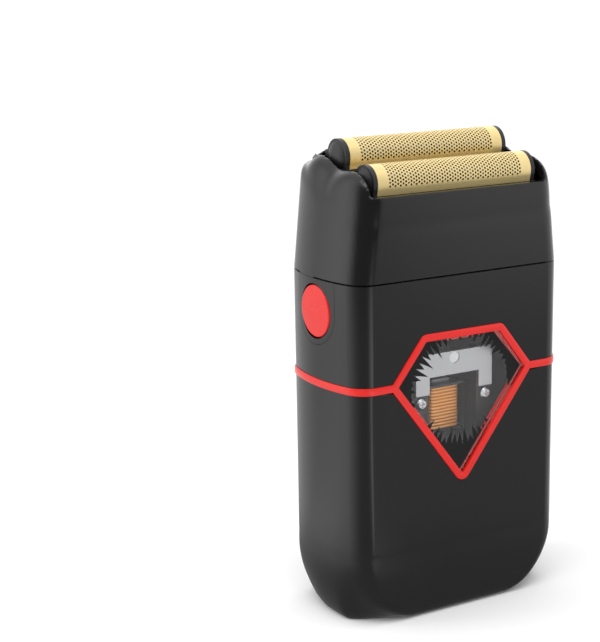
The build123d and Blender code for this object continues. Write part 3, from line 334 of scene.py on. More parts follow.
def clear_lens():
    """Clear moulded window that lets lamps through to the parts behind it."""
    finish, tree, surface = bare_finish("lens_clear_finish")
    surface.inputs["Base Color"].default_value = shade(0.97, 0.975, 0.98)
    surface.inputs["Transmission Weight"].default_value = 1.0
    surface.inputs["IOR"].default_value = 1.46
    gloss = use(tree, HANDLING, Roughness=0.02, Spread=0.015, Scale=90.0)
    tree.links.new(gloss.outputs["Roughness"], surface.inputs["Roughness"])
    through = tree.nodes.new("ShaderNodeBsdfTransparent")
    path = tree.nodes.new("ShaderNodeLightPath")
    either = tree.nodes.new("ShaderNodeMixShader")
    tree.links.new(path.outputs["Is Shadow Ray"], either.inputs[0])
    tree.links.new(surface.outputs[0], either.inputs[1])
    tree.links.new(through.outputs[0], either.inputs[2])
    tree.links.new(either.outputs[0], tree.nodes["Material Output"].inputs["Surface"])
    return finish


# colour, second colour, roughness and what else a finish needs
PLASTICS = {
    "black_shell": ((0.0075, 0.0075, 0.008), (0.010, 0.010, 0.011), 0.22, {"spread": 0.02, "bump": 0.02}),
    "red_trim": ((0.70, 0.012, 0.008), (0.62, 0.009, 0.006), 0.28, {"bump": 0.02}),
    "mask_black": ((0.034, 0.034, 0.036), (0.040, 0.040, 0.042), 0.45, {"bump": 0.02}),
    "inner_black": ((0.010, 0.010, 0.011), (0.016, 0.016, 0.017), 0.42, {"bump": 0.12}),
    "inner_grey": ((0.10, 0.10, 0.105), (0.13, 0.13, 0.135), 0.45, {"bump": 0.12}),
    "seal_rubber": ((0.02, 0.02, 0.02), (0.03, 0.03, 0.03), 0.75, {"bump": 0.2}),
    "bobbin_plastic": ((0.015, 0.015, 0.016), (0.03, 0.03, 0.03), 0.4, {}),
    "cell_wrap": ((0.02, 0.12, 0.30), (0.03, 0.16, 0.36), 0.28, {"bump": 0.05}),
    "board": ((0.01, 0.10, 0.035), (0.012, 0.14, 0.05), 0.35, {"bump": 0.25}),
    "chips": ((0.012, 0.012, 0.012), (0.02, 0.02, 0.02), 0.5, {"bump": 0.15}),
    "flex": ((0.35, 0.13, 0.02), (0.42, 0.17, 0.03), 0.4, {}),
    "light_pipe": ((0.75, 0.76, 0.78), (0.68, 0.69, 0.72), 0.3, {}),
}
METALS = {
    "bright_plate": ((0.50, 0.50, 0.51), (0.44, 0.44, 0.45), 0.42, {}),
    "core_steel": ((0.42, 0.43, 0.45), (0.30, 0.30, 0.32), 0.38,
                   {"stretch": (400.0, 9000.0, 400.0), "spread": 0.2, "bump": 0.3}),
    "copper_wire": ((0.98, 0.50, 0.14), (0.88, 0.38, 0.09), 0.30,
                    {"stretch": (900.0, 900.0, 4000.0), "metallic": 0.5}),
    "steel": ((0.62, 0.62, 0.63), (0.50, 0.50, 0.52), 0.26, {}),
    "spring_steel": ((0.55, 0.55, 0.56), (0.42, 0.42, 0.44), 0.28, {}),
    "magnet": ((0.55, 0.55, 0.58), (0.42, 0.42, 0.46), 0.18, {}),
    "foil_gold": ((0.90, 0.72, 0.34), (0.84, 0.65, 0.30), 0.40,
                  {"stretch": (300.0, 5000.0, 5000.0), "spread": 0.08, "bump": 0.02, "metallic": 0.6}),
    "blade_steel": ((0.50, 0.50, 0.52), (0.38, 0.38, 0.40), 0.3, {"stretch": (5000.0, 300.0, 300.0)}),
    "nickel": ((0.70, 0.67, 0.60), (0.58, 0.55, 0.48), 0.24, {}),
}
FINISHES = {"lens_clear": clear_lens()}
for make, table in ((plastic, PLASTICS), (metal, METALS)):
    for slot, (colour, second, roughness, others) in table.items():
        FINISHES[slot] = make(slot + "_finish", shade(*colour), shade(*second), roughness, **others)

SLOT_OF = {row["node"]: row["material_slot"] for row in frame["record"]["subparts"]}


def dress_cad_nodes():
    """Every CAD node gets the finish of its slot."""
    for name, node in frame["nodes"].items():
        for place in node.material_slots:
            place.material = FINISHES[SLOT_OF[name]]


# ---- making pieces
def mesh_object(name, mesh):
    piece = bpy.data.objects.new(name, mesh)
    bpy.context.scene.collection.objects.link(piece)
    return piece


def mesh_from(name, shape):
    """A plain mesh from a shape, which is then let go."""
    mesh = bpy.data.meshes.new(name)
    shape.to_mesh(mesh)
    shape.free()
    return mesh


def finished(name, mesh, kind, inputs=None, **settings):
    """What one modifier makes of a mesh, as a plain mesh."""
    holder = mesh_object(name + "_holder", mesh)
    modifier = holder.modifiers.new("finish", kind)
    for setting, value in settings.items():
        setattr(modifier, setting, value)
    for identifier, value in (inputs or {}).items():
        modifier[identifier] = value
    made = bpy.data.meshes.new_from_object(holder.evaluated_get(bpy.context.evaluated_depsgraph_get()))
    made.name = name
    holder.modifiers.clear()
    bpy.data.objects.remove(holder)
    return made


def from_tree(name, tree, values, place=None):
    """Runs a geometry tree with its named values and gives the result as a plain mesh."""
    inputs = {item.identifier: values[item.name] for item in tree.interface.items_tree
              if item.item_type == "SOCKET" and item.in_out == "INPUT" and item.name in values}
    mesh = finished(name, bpy.data.meshes.new(name + "_holder"), "NODES", inputs, node_group=tree)
    if place is not None:
        mesh.transform(place)
    return mesh


def joined(name, meshes):
    """Several meshes as one piece."""
    shape = bmesh.new()
    for mesh in meshes:
        shape.from_mesh(mesh)
    whole = mesh_from(name, shape)
    whole.materials.append(meshes[0].materials[0])
    for mesh in meshes:
        bpy.data.meshes.remove(mesh)
    return mesh_object(name, whole)


def merged_copy(node):
    """A CAD node's shape with its loose triangles joined."""
    shape = bmesh.new()
    shape.from_mesh(frame["nodes"][node].data)
    bmesh.ops.remove_doubles(shape, verts=shape.verts, dist=WELD)
    return shape


def cut_flat(shape, point, normal, **settings):
    """Cuts a shape along a plane and gives the edges of the cut."""
    cut = bmesh.ops.bisect_plane(shape, geom=shape.verts[:] + shape.edges[:] + shape.faces[:], plane_co=point,
                                 plane_no=normal, **settings)
    return [edge for edge in cut["geom_cut"] if isinstance(edge, bmesh.types.BMEdge)]


def settle(piece, node, smooth=True):
    """The piece stands for a CAD node: same body, same slot, same finish."""
    mesh = piece.data
    if smooth:
        mesh.shade_smooth()
    if not mesh.materials:
        mesh.materials.append(FINISHES[SLOT_OF[node]])
    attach(piece, frame["nodes"][node]["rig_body"])
    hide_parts(node)


def axes(origin, along, up):
    """A matrix whose X runs along, whose Z is nearest to up, placed at origin."""
    x = Vector(along).normalized()
    z = Vector(up).normalized()
    y = z.cross(x)
    return Matrix.Translation(origin) @ Matrix((x, y, z)).transposed().to_4x4()


# ---- foils
def foil_cell(name, width, height, holes):
    """Two half-width columns of the sheet: a hole in the left one, half holes above and below in the right."""
    shape = bmesh.new()
    corners = {}

    def corner(x, y, z):
        key = (round(x / MM, 4), round(y / MM, 4), z)
        if key not in corners:
            corners[key] = shape.verts.new((x, y, z))
        return corners[key]

    def sheet(points):
        shape.faces.new([corner(x, y, FOIL_SHEET) for x, y in points])
        shape.faces.new([corner(x, y, 0.0) for x, y in reversed(points)])

    def holed(edge, centre, angles):
        rim = [(centre[0] + HOLE_R * cos(radians(a)), centre[1] + HOLE_R * sin(radians(a))) for a in angles]
        for k in range(len(rim) - 1):
            sheet([edge[k], edge[k + 1], rim[k + 1], rim[k]])
            shape.faces.new([corner(*rim[k], 0.0), corner(*rim[k], FOIL_SHEET),
                             corner(*rim[k + 1], FOIL_SHEET), corner(*rim[k + 1], 0.0)])

    w, h = width / 4, height / 2
    ring = [(1, 0), (1, 1), (0, 1), (-1, 1), (-1, 0), (-1, -1), (0, -1), (1, -1), (1, 0)]
    edge = [(-w + x * w, y * h) for x, y in ring]
    if holes["middle"]:
        holed(edge, (-w, 0.0), range(0, 361, 45))
    else:
        for k in (0, 2, 4, 6):
            sheet([(-w, 0.0), edge[k], edge[k + 1], edge[k + 2]])
    for way, label in ((1, "above"), (-1, "below")):
        edge = [(2 * w, way * h), (2 * w, 0.0), (w, 0.0), (0.0, 0.0), (0.0, way * h)][::-way]
        if holes[label]:
            holed(edge, (w, way * h), range(180, 361, 45) if way > 0 else range(0, 181, 45))
        else:
            sheet([edge[0], edge[1], edge[2], (w, way * h)])
            sheet([edge[2], edge[3], edge[4], (w, way * h)])
    return mesh_object(name, mesh_from(name, shape))


def foil_tree():
    """Cells set out over the sheet, then rolled over the foil's arch."""
    tree, given, result = group_with(
        "perforated_foil", "GeometryNodeTree",
        [(label, "NodeSocketObject", None) for label in CELLS] +
        [("Columns", "NodeSocketInt", FOIL_COLUMNS), ("Rows", "NodeSocketInt", FOIL_ROWS),
         ("Pitch", "NodeSocketFloat", 1 * MM), ("Row pitch", "NodeSocketFloat", 1 * MM),
         ("End margin", "NodeSocketInt", END_MARGIN), ("Edge margin", "NodeSocketInt", EDGE_MARGIN),
         ("Radius", "NodeSocketFloat", FOIL_R), ("Thickness", "NodeSocketFloat", FOIL_SHEET),
         ("Flare", "NodeSocketFloat", FOIL_FLARE), ("Finish", "NodeSocketMaterial", None)],
        [("Mesh", "NodeSocketGeometry")])
    count = maths(tree, "MULTIPLY", given["Columns"], given["Rows"])
    index = first(tree.nodes.new("GeometryNodeInputIndex"))
    row = maths(tree, "FLOOR", maths(tree, "DIVIDE", maths(tree, "ADD", index, 0.5), given["Columns"]))
    column = maths(tree, "SUBTRACT", index, maths(tree, "MULTIPLY", row, given["Columns"]))
    middle = maths(tree, "DIVIDE", maths(tree, "SUBTRACT", given["Columns"], 1.0), 2.0)
    y_middle = maths(tree, "DIVIDE", maths(tree, "SUBTRACT", given["Rows"], 1.0), 2.0)
    x = maths(tree, "SUBTRACT", column, middle)
    y = maths(tree, "SUBTRACT", row, y_middle)
    spot = put(tree, "ShaderNodeCombineXYZ", maths(tree, "MULTIPLY", x, given["Pitch"]),
               maths(tree, "MULTIPLY", y, given["Row pitch"]))
    points = put(tree, "GeometryNodePoints", count, first(spot))
    # which cell stands at each point, counted as in CELLS
    last_column = maths(tree, "SUBTRACT", middle, given["End margin"])
    last_row = maths(tree, "SUBTRACT", y_middle, given["Edge margin"])
    past_end = maths(tree, "GREATER_THAN", maths(tree, "ABSOLUTE", x), maths(tree, "ADD", last_column, 0.2))
    past_edge = maths(tree, "GREATER_THAN", maths(tree, "ABSOLUTE", y), maths(tree, "ADD", last_row, 0.2))
    plain = maths(tree, "MAXIMUM", past_end, past_edge)
    top_row = maths(tree, "GREATER_THAN", y, maths(tree, "SUBTRACT", last_row, 0.2))
    bottom_row = maths(tree, "LESS_THAN", y, maths(tree, "SUBTRACT", 0.2, last_row))
    special = maths(tree, "ADD", maths(tree, "MULTIPLY", top_row, 2.0),
                    maths(tree, "MULTIPLY", bottom_row, 3.0))
    kind = maths(tree, "ADD", plain,
                 maths(tree, "MULTIPLY", special, maths(tree, "SUBTRACT", 1.0, plain)))
    stored = put(tree, "GeometryNodeStoreNamedAttribute", first(points), None, "cell", kind,
                 data_type="INT", domain="POINT")
    palette = tree.nodes.new("GeometryNodeJoinGeometry")
    for label in reversed(CELLS):
        source = put(tree, "GeometryNodeObjectInfo", given[label])
        as_cell = put(tree, "GeometryNodeGeometryToInstance", source.outputs["Geometry"])
        tree.links.new(first(as_cell), palette.inputs[0])
    chosen = put(tree, "GeometryNodeInputNamedAttribute", "cell", data_type="INT")
    laid = tree.nodes.new("GeometryNodeInstanceOnPoints")
    tree.links.new(first(stored), laid.inputs["Points"])
    tree.links.new(first(palette), laid.inputs["Instance"])
    laid.inputs["Pick Instance"].default_value = True
    tree.links.new(first(chosen), laid.inputs["Instance Index"])
    flat = put(tree, "GeometryNodeRealizeInstances", first(laid))
    welded = put(tree, "GeometryNodeMergeByDistance", first(flat), None, 0.005 * MM)
    # roll the flat sheet over the arch; past a quarter turn each side it runs straight, flared
    part = put(tree, "ShaderNodeSeparateXYZ", first(tree.nodes.new("GeometryNodeInputPosition")))
    along = part.outputs["Y"]
    turn = maths(tree, "DIVIDE", along, given["Radius"])
    turn = maths(tree, "MAXIMUM", maths(tree, "MINIMUM", turn, pi / 2), -pi / 2)
    beyond = maths(tree, "SUBTRACT", along, maths(tree, "MULTIPLY", turn, given["Radius"]))
    reach = maths(tree, "ADD", maths(tree, "SUBTRACT", given["Radius"], given["Thickness"]), part.outputs["Z"])
    u = maths(tree, "ADD", maths(tree, "MULTIPLY", reach, maths(tree, "SINE", turn)),
              maths(tree, "MULTIPLY", beyond, maths(tree, "SINE", given["Flare"])))
    fall = maths(tree, "MULTIPLY", maths(tree, "ABSOLUTE", beyond), maths(tree, "COSINE", given["Flare"]))
    v = maths(tree, "SUBTRACT", maths(tree, "MULTIPLY", reach, maths(tree, "COSINE", turn)), fall)
    rolled = put(tree, "GeometryNodeSetPosition", first(welded), None,
                 first(put(tree, "ShaderNodeCombineXYZ", part.outputs["X"], u, v)))
    done = put(tree, "GeometryNodeSetMaterial", first(rolled), None, given["Finish"])
    tree.links.new(first(done), result["Mesh"])
    return tree


def close_edge(mesh):
    """Joins a sheet's two skins all round its edge."""
    shape = bmesh.new()
    shape.from_mesh(mesh)
    bmesh.ops.bridge_loops(shape, edges=[edge for edge in shape.edges if edge.is_boundary])
    bmesh.ops.recalc_face_normals(shape, faces=shape.faces)
    shape.to_mesh(mesh)
    shape.free()


def foils():
    """The two perforated foils."""
    low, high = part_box("foil_front")
    pitch = (high.x - low.x) / FOIL_COLUMNS
    row_pitch = (pi * FOIL_R + 2 * FOIL_LEG / cos(FOIL_FLARE)) / FOIL_ROWS
    cells = {}
    for label, middle, above, below in (("Holed", 1, 1, 1), ("Plain", 0, 0, 0), ("Top row", 1, 0, 1),
                                        ("Bottom row", 1, 1, 0)):
        holes = {"middle": middle, "above": above, "below": below}
        cells[label] = foil_cell("foil_cell_" + label.lower().replace(" ", "_"), pitch, row_pitch, holes)
    tree = foil_tree()
    for place in ("front", "rear"):
        node = "foil_" + place
        low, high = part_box(node)
        centre = Vector((0, low.y + FOIL_R, high.z - FOIL_R))
        values = {"Pitch": pitch, "Row pitch": row_pitch, "Finish": FINISHES["foil_gold"], **cells}
        mesh = from_tree("perforated_" + node, tree, values, axes(centre, (1, 0, 0), FOIL_AXIS))
        close_edge(mesh)
        settle(mesh_object("perforated_" + node, mesh), node)
        mesh.set_sharp_from_angle(angle=CREASE_FROM)
    for cell in cells.values():
        bpy.data.objects.remove(cell)


# ---- springs
def spring_tree():
    """Round wire along a helix."""
    tree, given, result = group_with(
        "coil_spring", "GeometryNodeTree",
        [("Turns", "NodeSocketFloat", 5.0), ("Mean radius", "NodeSocketFloat", 1 * MM),
         ("Length", "NodeSocketFloat", 5 * MM), ("Wire radius", "NodeSocketFloat", 0.15 * MM),
         ("Finish", "NodeSocketMaterial", None)],
        [("Mesh", "NodeSocketGeometry")])
    helix = put(tree, "GeometryNodeCurveSpiral", SPRING_STEPS, given["Turns"], given["Mean radius"],
                given["Mean radius"],
                maths(tree, "SUBTRACT", given["Length"], maths(tree, "MULTIPLY", given["Wire radius"], 2.0)))
    lifted = put(tree, "GeometryNodeTransform", first(helix))
    up = put(tree, "ShaderNodeCombineXYZ", 0.0, 0.0, given["Wire radius"])
    tree.links.new(first(up), lifted.inputs["Translation"])
    wire = put(tree, "GeometryNodeCurvePrimitiveCircle", SPRING_SIDES, mode="RADIUS")
    tree.links.new(given["Wire radius"], wire.inputs["Radius"])
    swept = tree.nodes.new("GeometryNodeCurveToMesh")
    tree.links.new(first(lifted), swept.inputs["Curve"])
    tree.links.new(first(wire), swept.inputs["Profile Curve"])
    swept.inputs["Fill Caps"].default_value = True
    real = put(tree, "GeometryNodeRealizeInstances", first(swept))
    done = put(tree, "GeometryNodeSetMaterial", first(real), None, given["Finish"])
    tree.links.new(first(done), result["Mesh"])
    return tree


def sprung(piece, node):
    """A wound spring shaded smooth, with its place baked into its mesh, standing in for its CAD node."""
    piece.data.shade_smooth()
    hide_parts(node)
    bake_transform(piece)


def springs():
    """Wound springs, made in place of the CAD springs."""
    tree = spring_tree()

    def coil(start, axis, length, radius, wire, turns):
        side = Vector((1, 0, 0)) if abs(axis[0]) < 0.5 else Vector((0, 1, 0))
        values = {"Turns": turns, "Mean radius": radius - wire, "Length": length, "Wire radius": wire,
                  "Finish": FINISHES["spring_steel"]}
        return from_tree("helix", tree, values, axes(start, side, axis))

    for side in ("left", "right"):
        node = "latch_spring_" + side
        low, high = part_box(node)
        start = Vector((low.x, (low.y + high.y) / 2, (low.z + high.z) / 2))
        made = coil(start, (1, 0, 0), high.x - low.x, (high.z - low.z) / 2, LATCH_WIRE_R, LATCH_TURNS)
        sprung(joined("wound_" + node, [made]), node)
    low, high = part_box("centring_springs")
    centre = (low + high) / 2
    for side, x in (("left", low.x), ("right", high.x - CENTRING_LENGTH)):
        start = Vector((x, centre.y, centre.z))
        made = coil(start, (1, 0, 0), CENTRING_LENGTH, (high.z - low.z) / 2, CENTRING_WIRE_R, CENTRING_TURNS)
        sprung(joined("wound_centring_spring_" + side, [made]), "centring_springs")
    for kind, still, (length, radius, wire, turns) in (
        ("foil", "head", FOIL_SPRING), ("cutter", "carriage", CUTTER_SPRING),
    ):
        for place in ("front", "rear"):
            node = kind + "_springs_" + place
            low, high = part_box(node)
            foot = (low + high) / 2 - FOIL_AXIS * length / 2
            pair = [coil(Vector((x, foot.y, foot.z)), FOIL_AXIS, length, radius, wire, turns)
                    for x in (low.x + radius, high.x - radius)]
            sprung(joined("wound_" + node, pair), node)


# ---- drive coil
def winding_tree():
    """Turns of wire laid as rounded rectangles, one above another."""
    tree, given, result = group_with(
        "wound_wire", "GeometryNodeTree",
        [("Turns", "NodeSocketInt", COIL_TURNS), ("Width", "NodeSocketFloat", 9 * MM),
         ("Depth", "NodeSocketFloat", 14 * MM), ("Corner", "NodeSocketFloat", COIL_CORNER),
         ("Wire radius", "NodeSocketFloat", WIRE_R),
         ("Height", "NodeSocketFloat", 11 * MM), ("Finish", "NodeSocketMaterial", None)],
        [("Mesh", "NodeSocketGeometry")])
    sink = maths(tree, "MULTIPLY", given["Wire radius"], 2.0)
    loop = put(tree, "GeometryNodeCurvePrimitiveQuadrilateral", maths(tree, "SUBTRACT", given["Width"], sink),
               maths(tree, "SUBTRACT", given["Depth"], sink), mode="RECTANGLE")
    rounded = put(tree, "GeometryNodeFilletCurve", first(loop), mode="POLY")
    rounded.inputs["Count"].default_value = CORNER_STEPS
    tree.links.new(given["Corner"], rounded.inputs["Radius"])
    room = maths(tree, "SUBTRACT", given["Height"], sink)
    step = maths(tree, "DIVIDE", room, maths(tree, "SUBTRACT", given["Turns"], 1.0))
    index = first(tree.nodes.new("GeometryNodeInputIndex"))
    level = maths(tree, "ADD", given["Wire radius"], maths(tree, "MULTIPLY", index, step))
    rack = put(tree, "GeometryNodePoints", given["Turns"],
               first(put(tree, "ShaderNodeCombineXYZ", 0.0, 0.0, level)))
    laid = tree.nodes.new("GeometryNodeInstanceOnPoints")
    tree.links.new(first(rack), laid.inputs["Points"])
    tree.links.new(first(rounded), laid.inputs["Instance"])
    loops = put(tree, "GeometryNodeRealizeInstances", first(laid))
    wire = put(tree, "GeometryNodeCurvePrimitiveCircle", WIRE_SIDES, mode="RADIUS")
    tree.links.new(given["Wire radius"], wire.inputs["Radius"])
    swept = tree.nodes.new("GeometryNodeCurveToMesh")
    tree.links.new(first(loops), swept.inputs["Curve"])
    tree.links.new(first(wire), swept.inputs["Profile Curve"])
    done = put(tree, "GeometryNodeSetMaterial", first(swept), None, given["Finish"])
    tree.links.new(first(done), result["Mesh"])
    return tree


def drive_coil():
    """The copper winding on the motor's middle leg."""
    low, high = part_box("coil_winding")
    size = high - low
    middle = (low + high) / 2
    mesh = from_tree(
        "wound_coil", winding_tree(),
        {"Width": size.x, "Depth": size.y, "Height": size.z, "Finish": FINISHES["copper_wire"]},
        Matrix.Translation((middle.x, middle.y, low.z)))
    settle(mesh_object("wound_coil", mesh), "coil_winding")


# ---- window mask
def along_table(table, place):
    """A value between the two rows of a table that place falls between."""
    for (x0, y0), (x1, y1) in zip(table, table[1:]):
        if x0 <= place <= x1:
            return y0 + (y1 - y0) * (place - x0) / (x1 - x0)
    return table[-1][1]


def window_mask():
    """The film behind the window: the window's own outline outside, a ring of uneven teeth inside."""
    low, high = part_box("window_mask")
    shoulder, waist, foot = high.z, low.z + (high.z - low.z) * WAIST_SHARE, low.z
    outline = [(high.x * SHOULDER_SHARE, shoulder), (high.x, waist), (0.0, foot), (low.x, waist),
               (low.x * SHOULDER_SHARE, shoulder)]
    centre = (0.0, MASK_CENTRE_Z)

    def reach(turn):
        """How far the outline lies from the ring's centre in one direction."""
        dx, dz = cos(turn), sin(turn)
        best = 1.0
        for (x0, z0), (x1, z1) in zip(outline, outline[1:] + outline[:1]):
            ex, ez = x1 - x0, z1 - z0
            cross = dx * ez - dz * ex
            if abs(cross) > 1e-9:
                far = ((x0 - centre[0]) * ez - (z0 - centre[1]) * ex) / cross
                share = ((x0 - centre[0]) * dz - (z0 - centre[1]) * dx) / cross
                if far > 0 and -1e-6 <= share <= 1 + 1e-6:
                    best = min(best, far)
        return best

    turns = []
    for tooth in range(MASK_POINTS):
        for part in TOOTH_PARTS:
            degrees = -180 + 360 * (tooth + part) / MASK_POINTS
            long = along_table(MASK_TEETH, degrees) * (0.72 + 0.28 * sin(2.4 * tooth)) * MM
            sharp = 1.0 - abs(part - 0.5) * 2
            root = MASK_RING_R + MASK_RING_WANDER * sin(5.1 * tooth)
            turns.append((radians(degrees), root - long * sharp ** 0.8))
    shape = bmesh.new()
    rings = []
    for turn, inner in turns:
        outer = reach(turn)
        inner = min(inner, outer - 0.01 * MM)
        spots = [(centre[0] + r * cos(turn), centre[1] + r * sin(turn)) for r in (inner, outer)]
        rings.append([shape.verts.new((x, y, z)) for y in (low.y, high.y) for x, z in spots])
    for a, b in zip(rings, rings[1:] + rings[:1]):
        shape.faces.new([a[0], b[0], b[1], a[1]])
        shape.faces.new([a[3], b[3], b[2], a[2]])
        shape.faces.new([a[2], b[2], b[0], a[0]])
        shape.faces.new([a[1], b[1], b[3], a[3]])
    bmesh.ops.recalc_face_normals(shape, faces=shape.faces)
    settle(mesh_object("toothed_mask", mesh_from("toothed_mask", shape)), "window_mask", smooth=False)


# ---- reshaped CAD pieces
def ramp(value, low, high):
    """Nought below low, one above high and a smooth climb between."""
    part = min(1.0, max(0.0, (value - low) / (high - low)))
    return part * part * (3 - 2 * part)


def fuller_bottom(spot):
    """Draws the sides of the lower shell out towards the floor, most of all at mid depth."""
    if spot.z >= BOTTOM_RISE:
        return spot
    drop = min(1.0, (BOTTOM_RISE - max(spot.z, 0.0)) / BOTTOM_RISE)
    round_under = 1.0 - (1.0 - drop * drop) ** 0.5
    tight = HALF_WIDTH - BOTTOM_RISE * round_under
    full = HALF_WIDTH - BOTTOM_DRAW_IN * round_under
    front_share = ramp(spot.y, -HALF_DEPTH, FULL_DEPTH[0])
    rear = min(1.0, max(0.0, (spot.y - FULL_DEPTH[1]) / (HALF_DEPTH - FULL_DEPTH[1])))
    push = (full - tight) * ramp(abs(spot.x), SOCKET_CLEAR, tight) * (front_share - REAR_EASE * rear * rear)
    return Vector((spot.x + (push if spot.x > 0 else -push), spot.y, spot.z))


def lower_shell():
    """The lower housing with its fuller sides."""
    node = "lower_housing"
    shape = merged_copy(node)
    for corner in shape.verts:
        corner.co = fuller_bottom(corner.co)
    mesh = mesh_from("drawn_" + node, shape)
    mesh.shade_smooth()
    mesh.set_sharp_from_angle(angle=SHARP_FROM)
    drawn = finished("drawn_" + node, mesh, "WEIGHTED_NORMAL", keep_sharp=True)
    drawn.materials.clear()
    settle(mesh_object("drawn_" + node, drawn), node, smooth=False)


def softened(node, width):
    """A copy of a CAD piece with its sharp edges rounded."""
    shape = merged_copy(node)
    bmesh.ops.dissolve_limit(shape, angle_limit=radians(1.0), verts=shape.verts, edges=shape.edges)
    rounded = finished("soft_" + node, mesh_from("soft_" + node, shape), "BEVEL", width=width, segments=2,
                       limit_method="ANGLE", angle_limit=SHARP_FROM)
    rounded.materials.clear()
    settle(mesh_object("soft_" + node, rounded), node)
    rounded.set_sharp_from_angle(angle=CREASE_FROM)


# ---- head shell
def largest(tree, *values):
    total = values[0]
    for value in values[1:]:
        total = maths(tree, "MAXIMUM", total, value)
    return total


def blend(tree, kind, a, b, soft):
    """A smooth minimum or maximum of two distances."""
    return first(put(tree, "ShaderNodeMath", a, b, soft, operation=kind))


def shifted(tree, value, amount):
    return maths(tree, "ADD", value, amount)


def span(tree, value, ends):
    """Distance outside a slab between two ends."""
    low, high = ends
    middle, half = (low + high) / 2, (high - low) / 2
    return shifted(tree, maths(tree, "ABSOLUTE", shifted(tree, value, -middle)), -half)


def length(tree, *parts):
    """The square root of the parts' squares added up."""
    total = None
    for part in parts:
        square = maths(tree, "MULTIPLY", part, part)
        total = square if total is None else maths(tree, "ADD", total, square)
    return maths(tree, "SQRT", total)


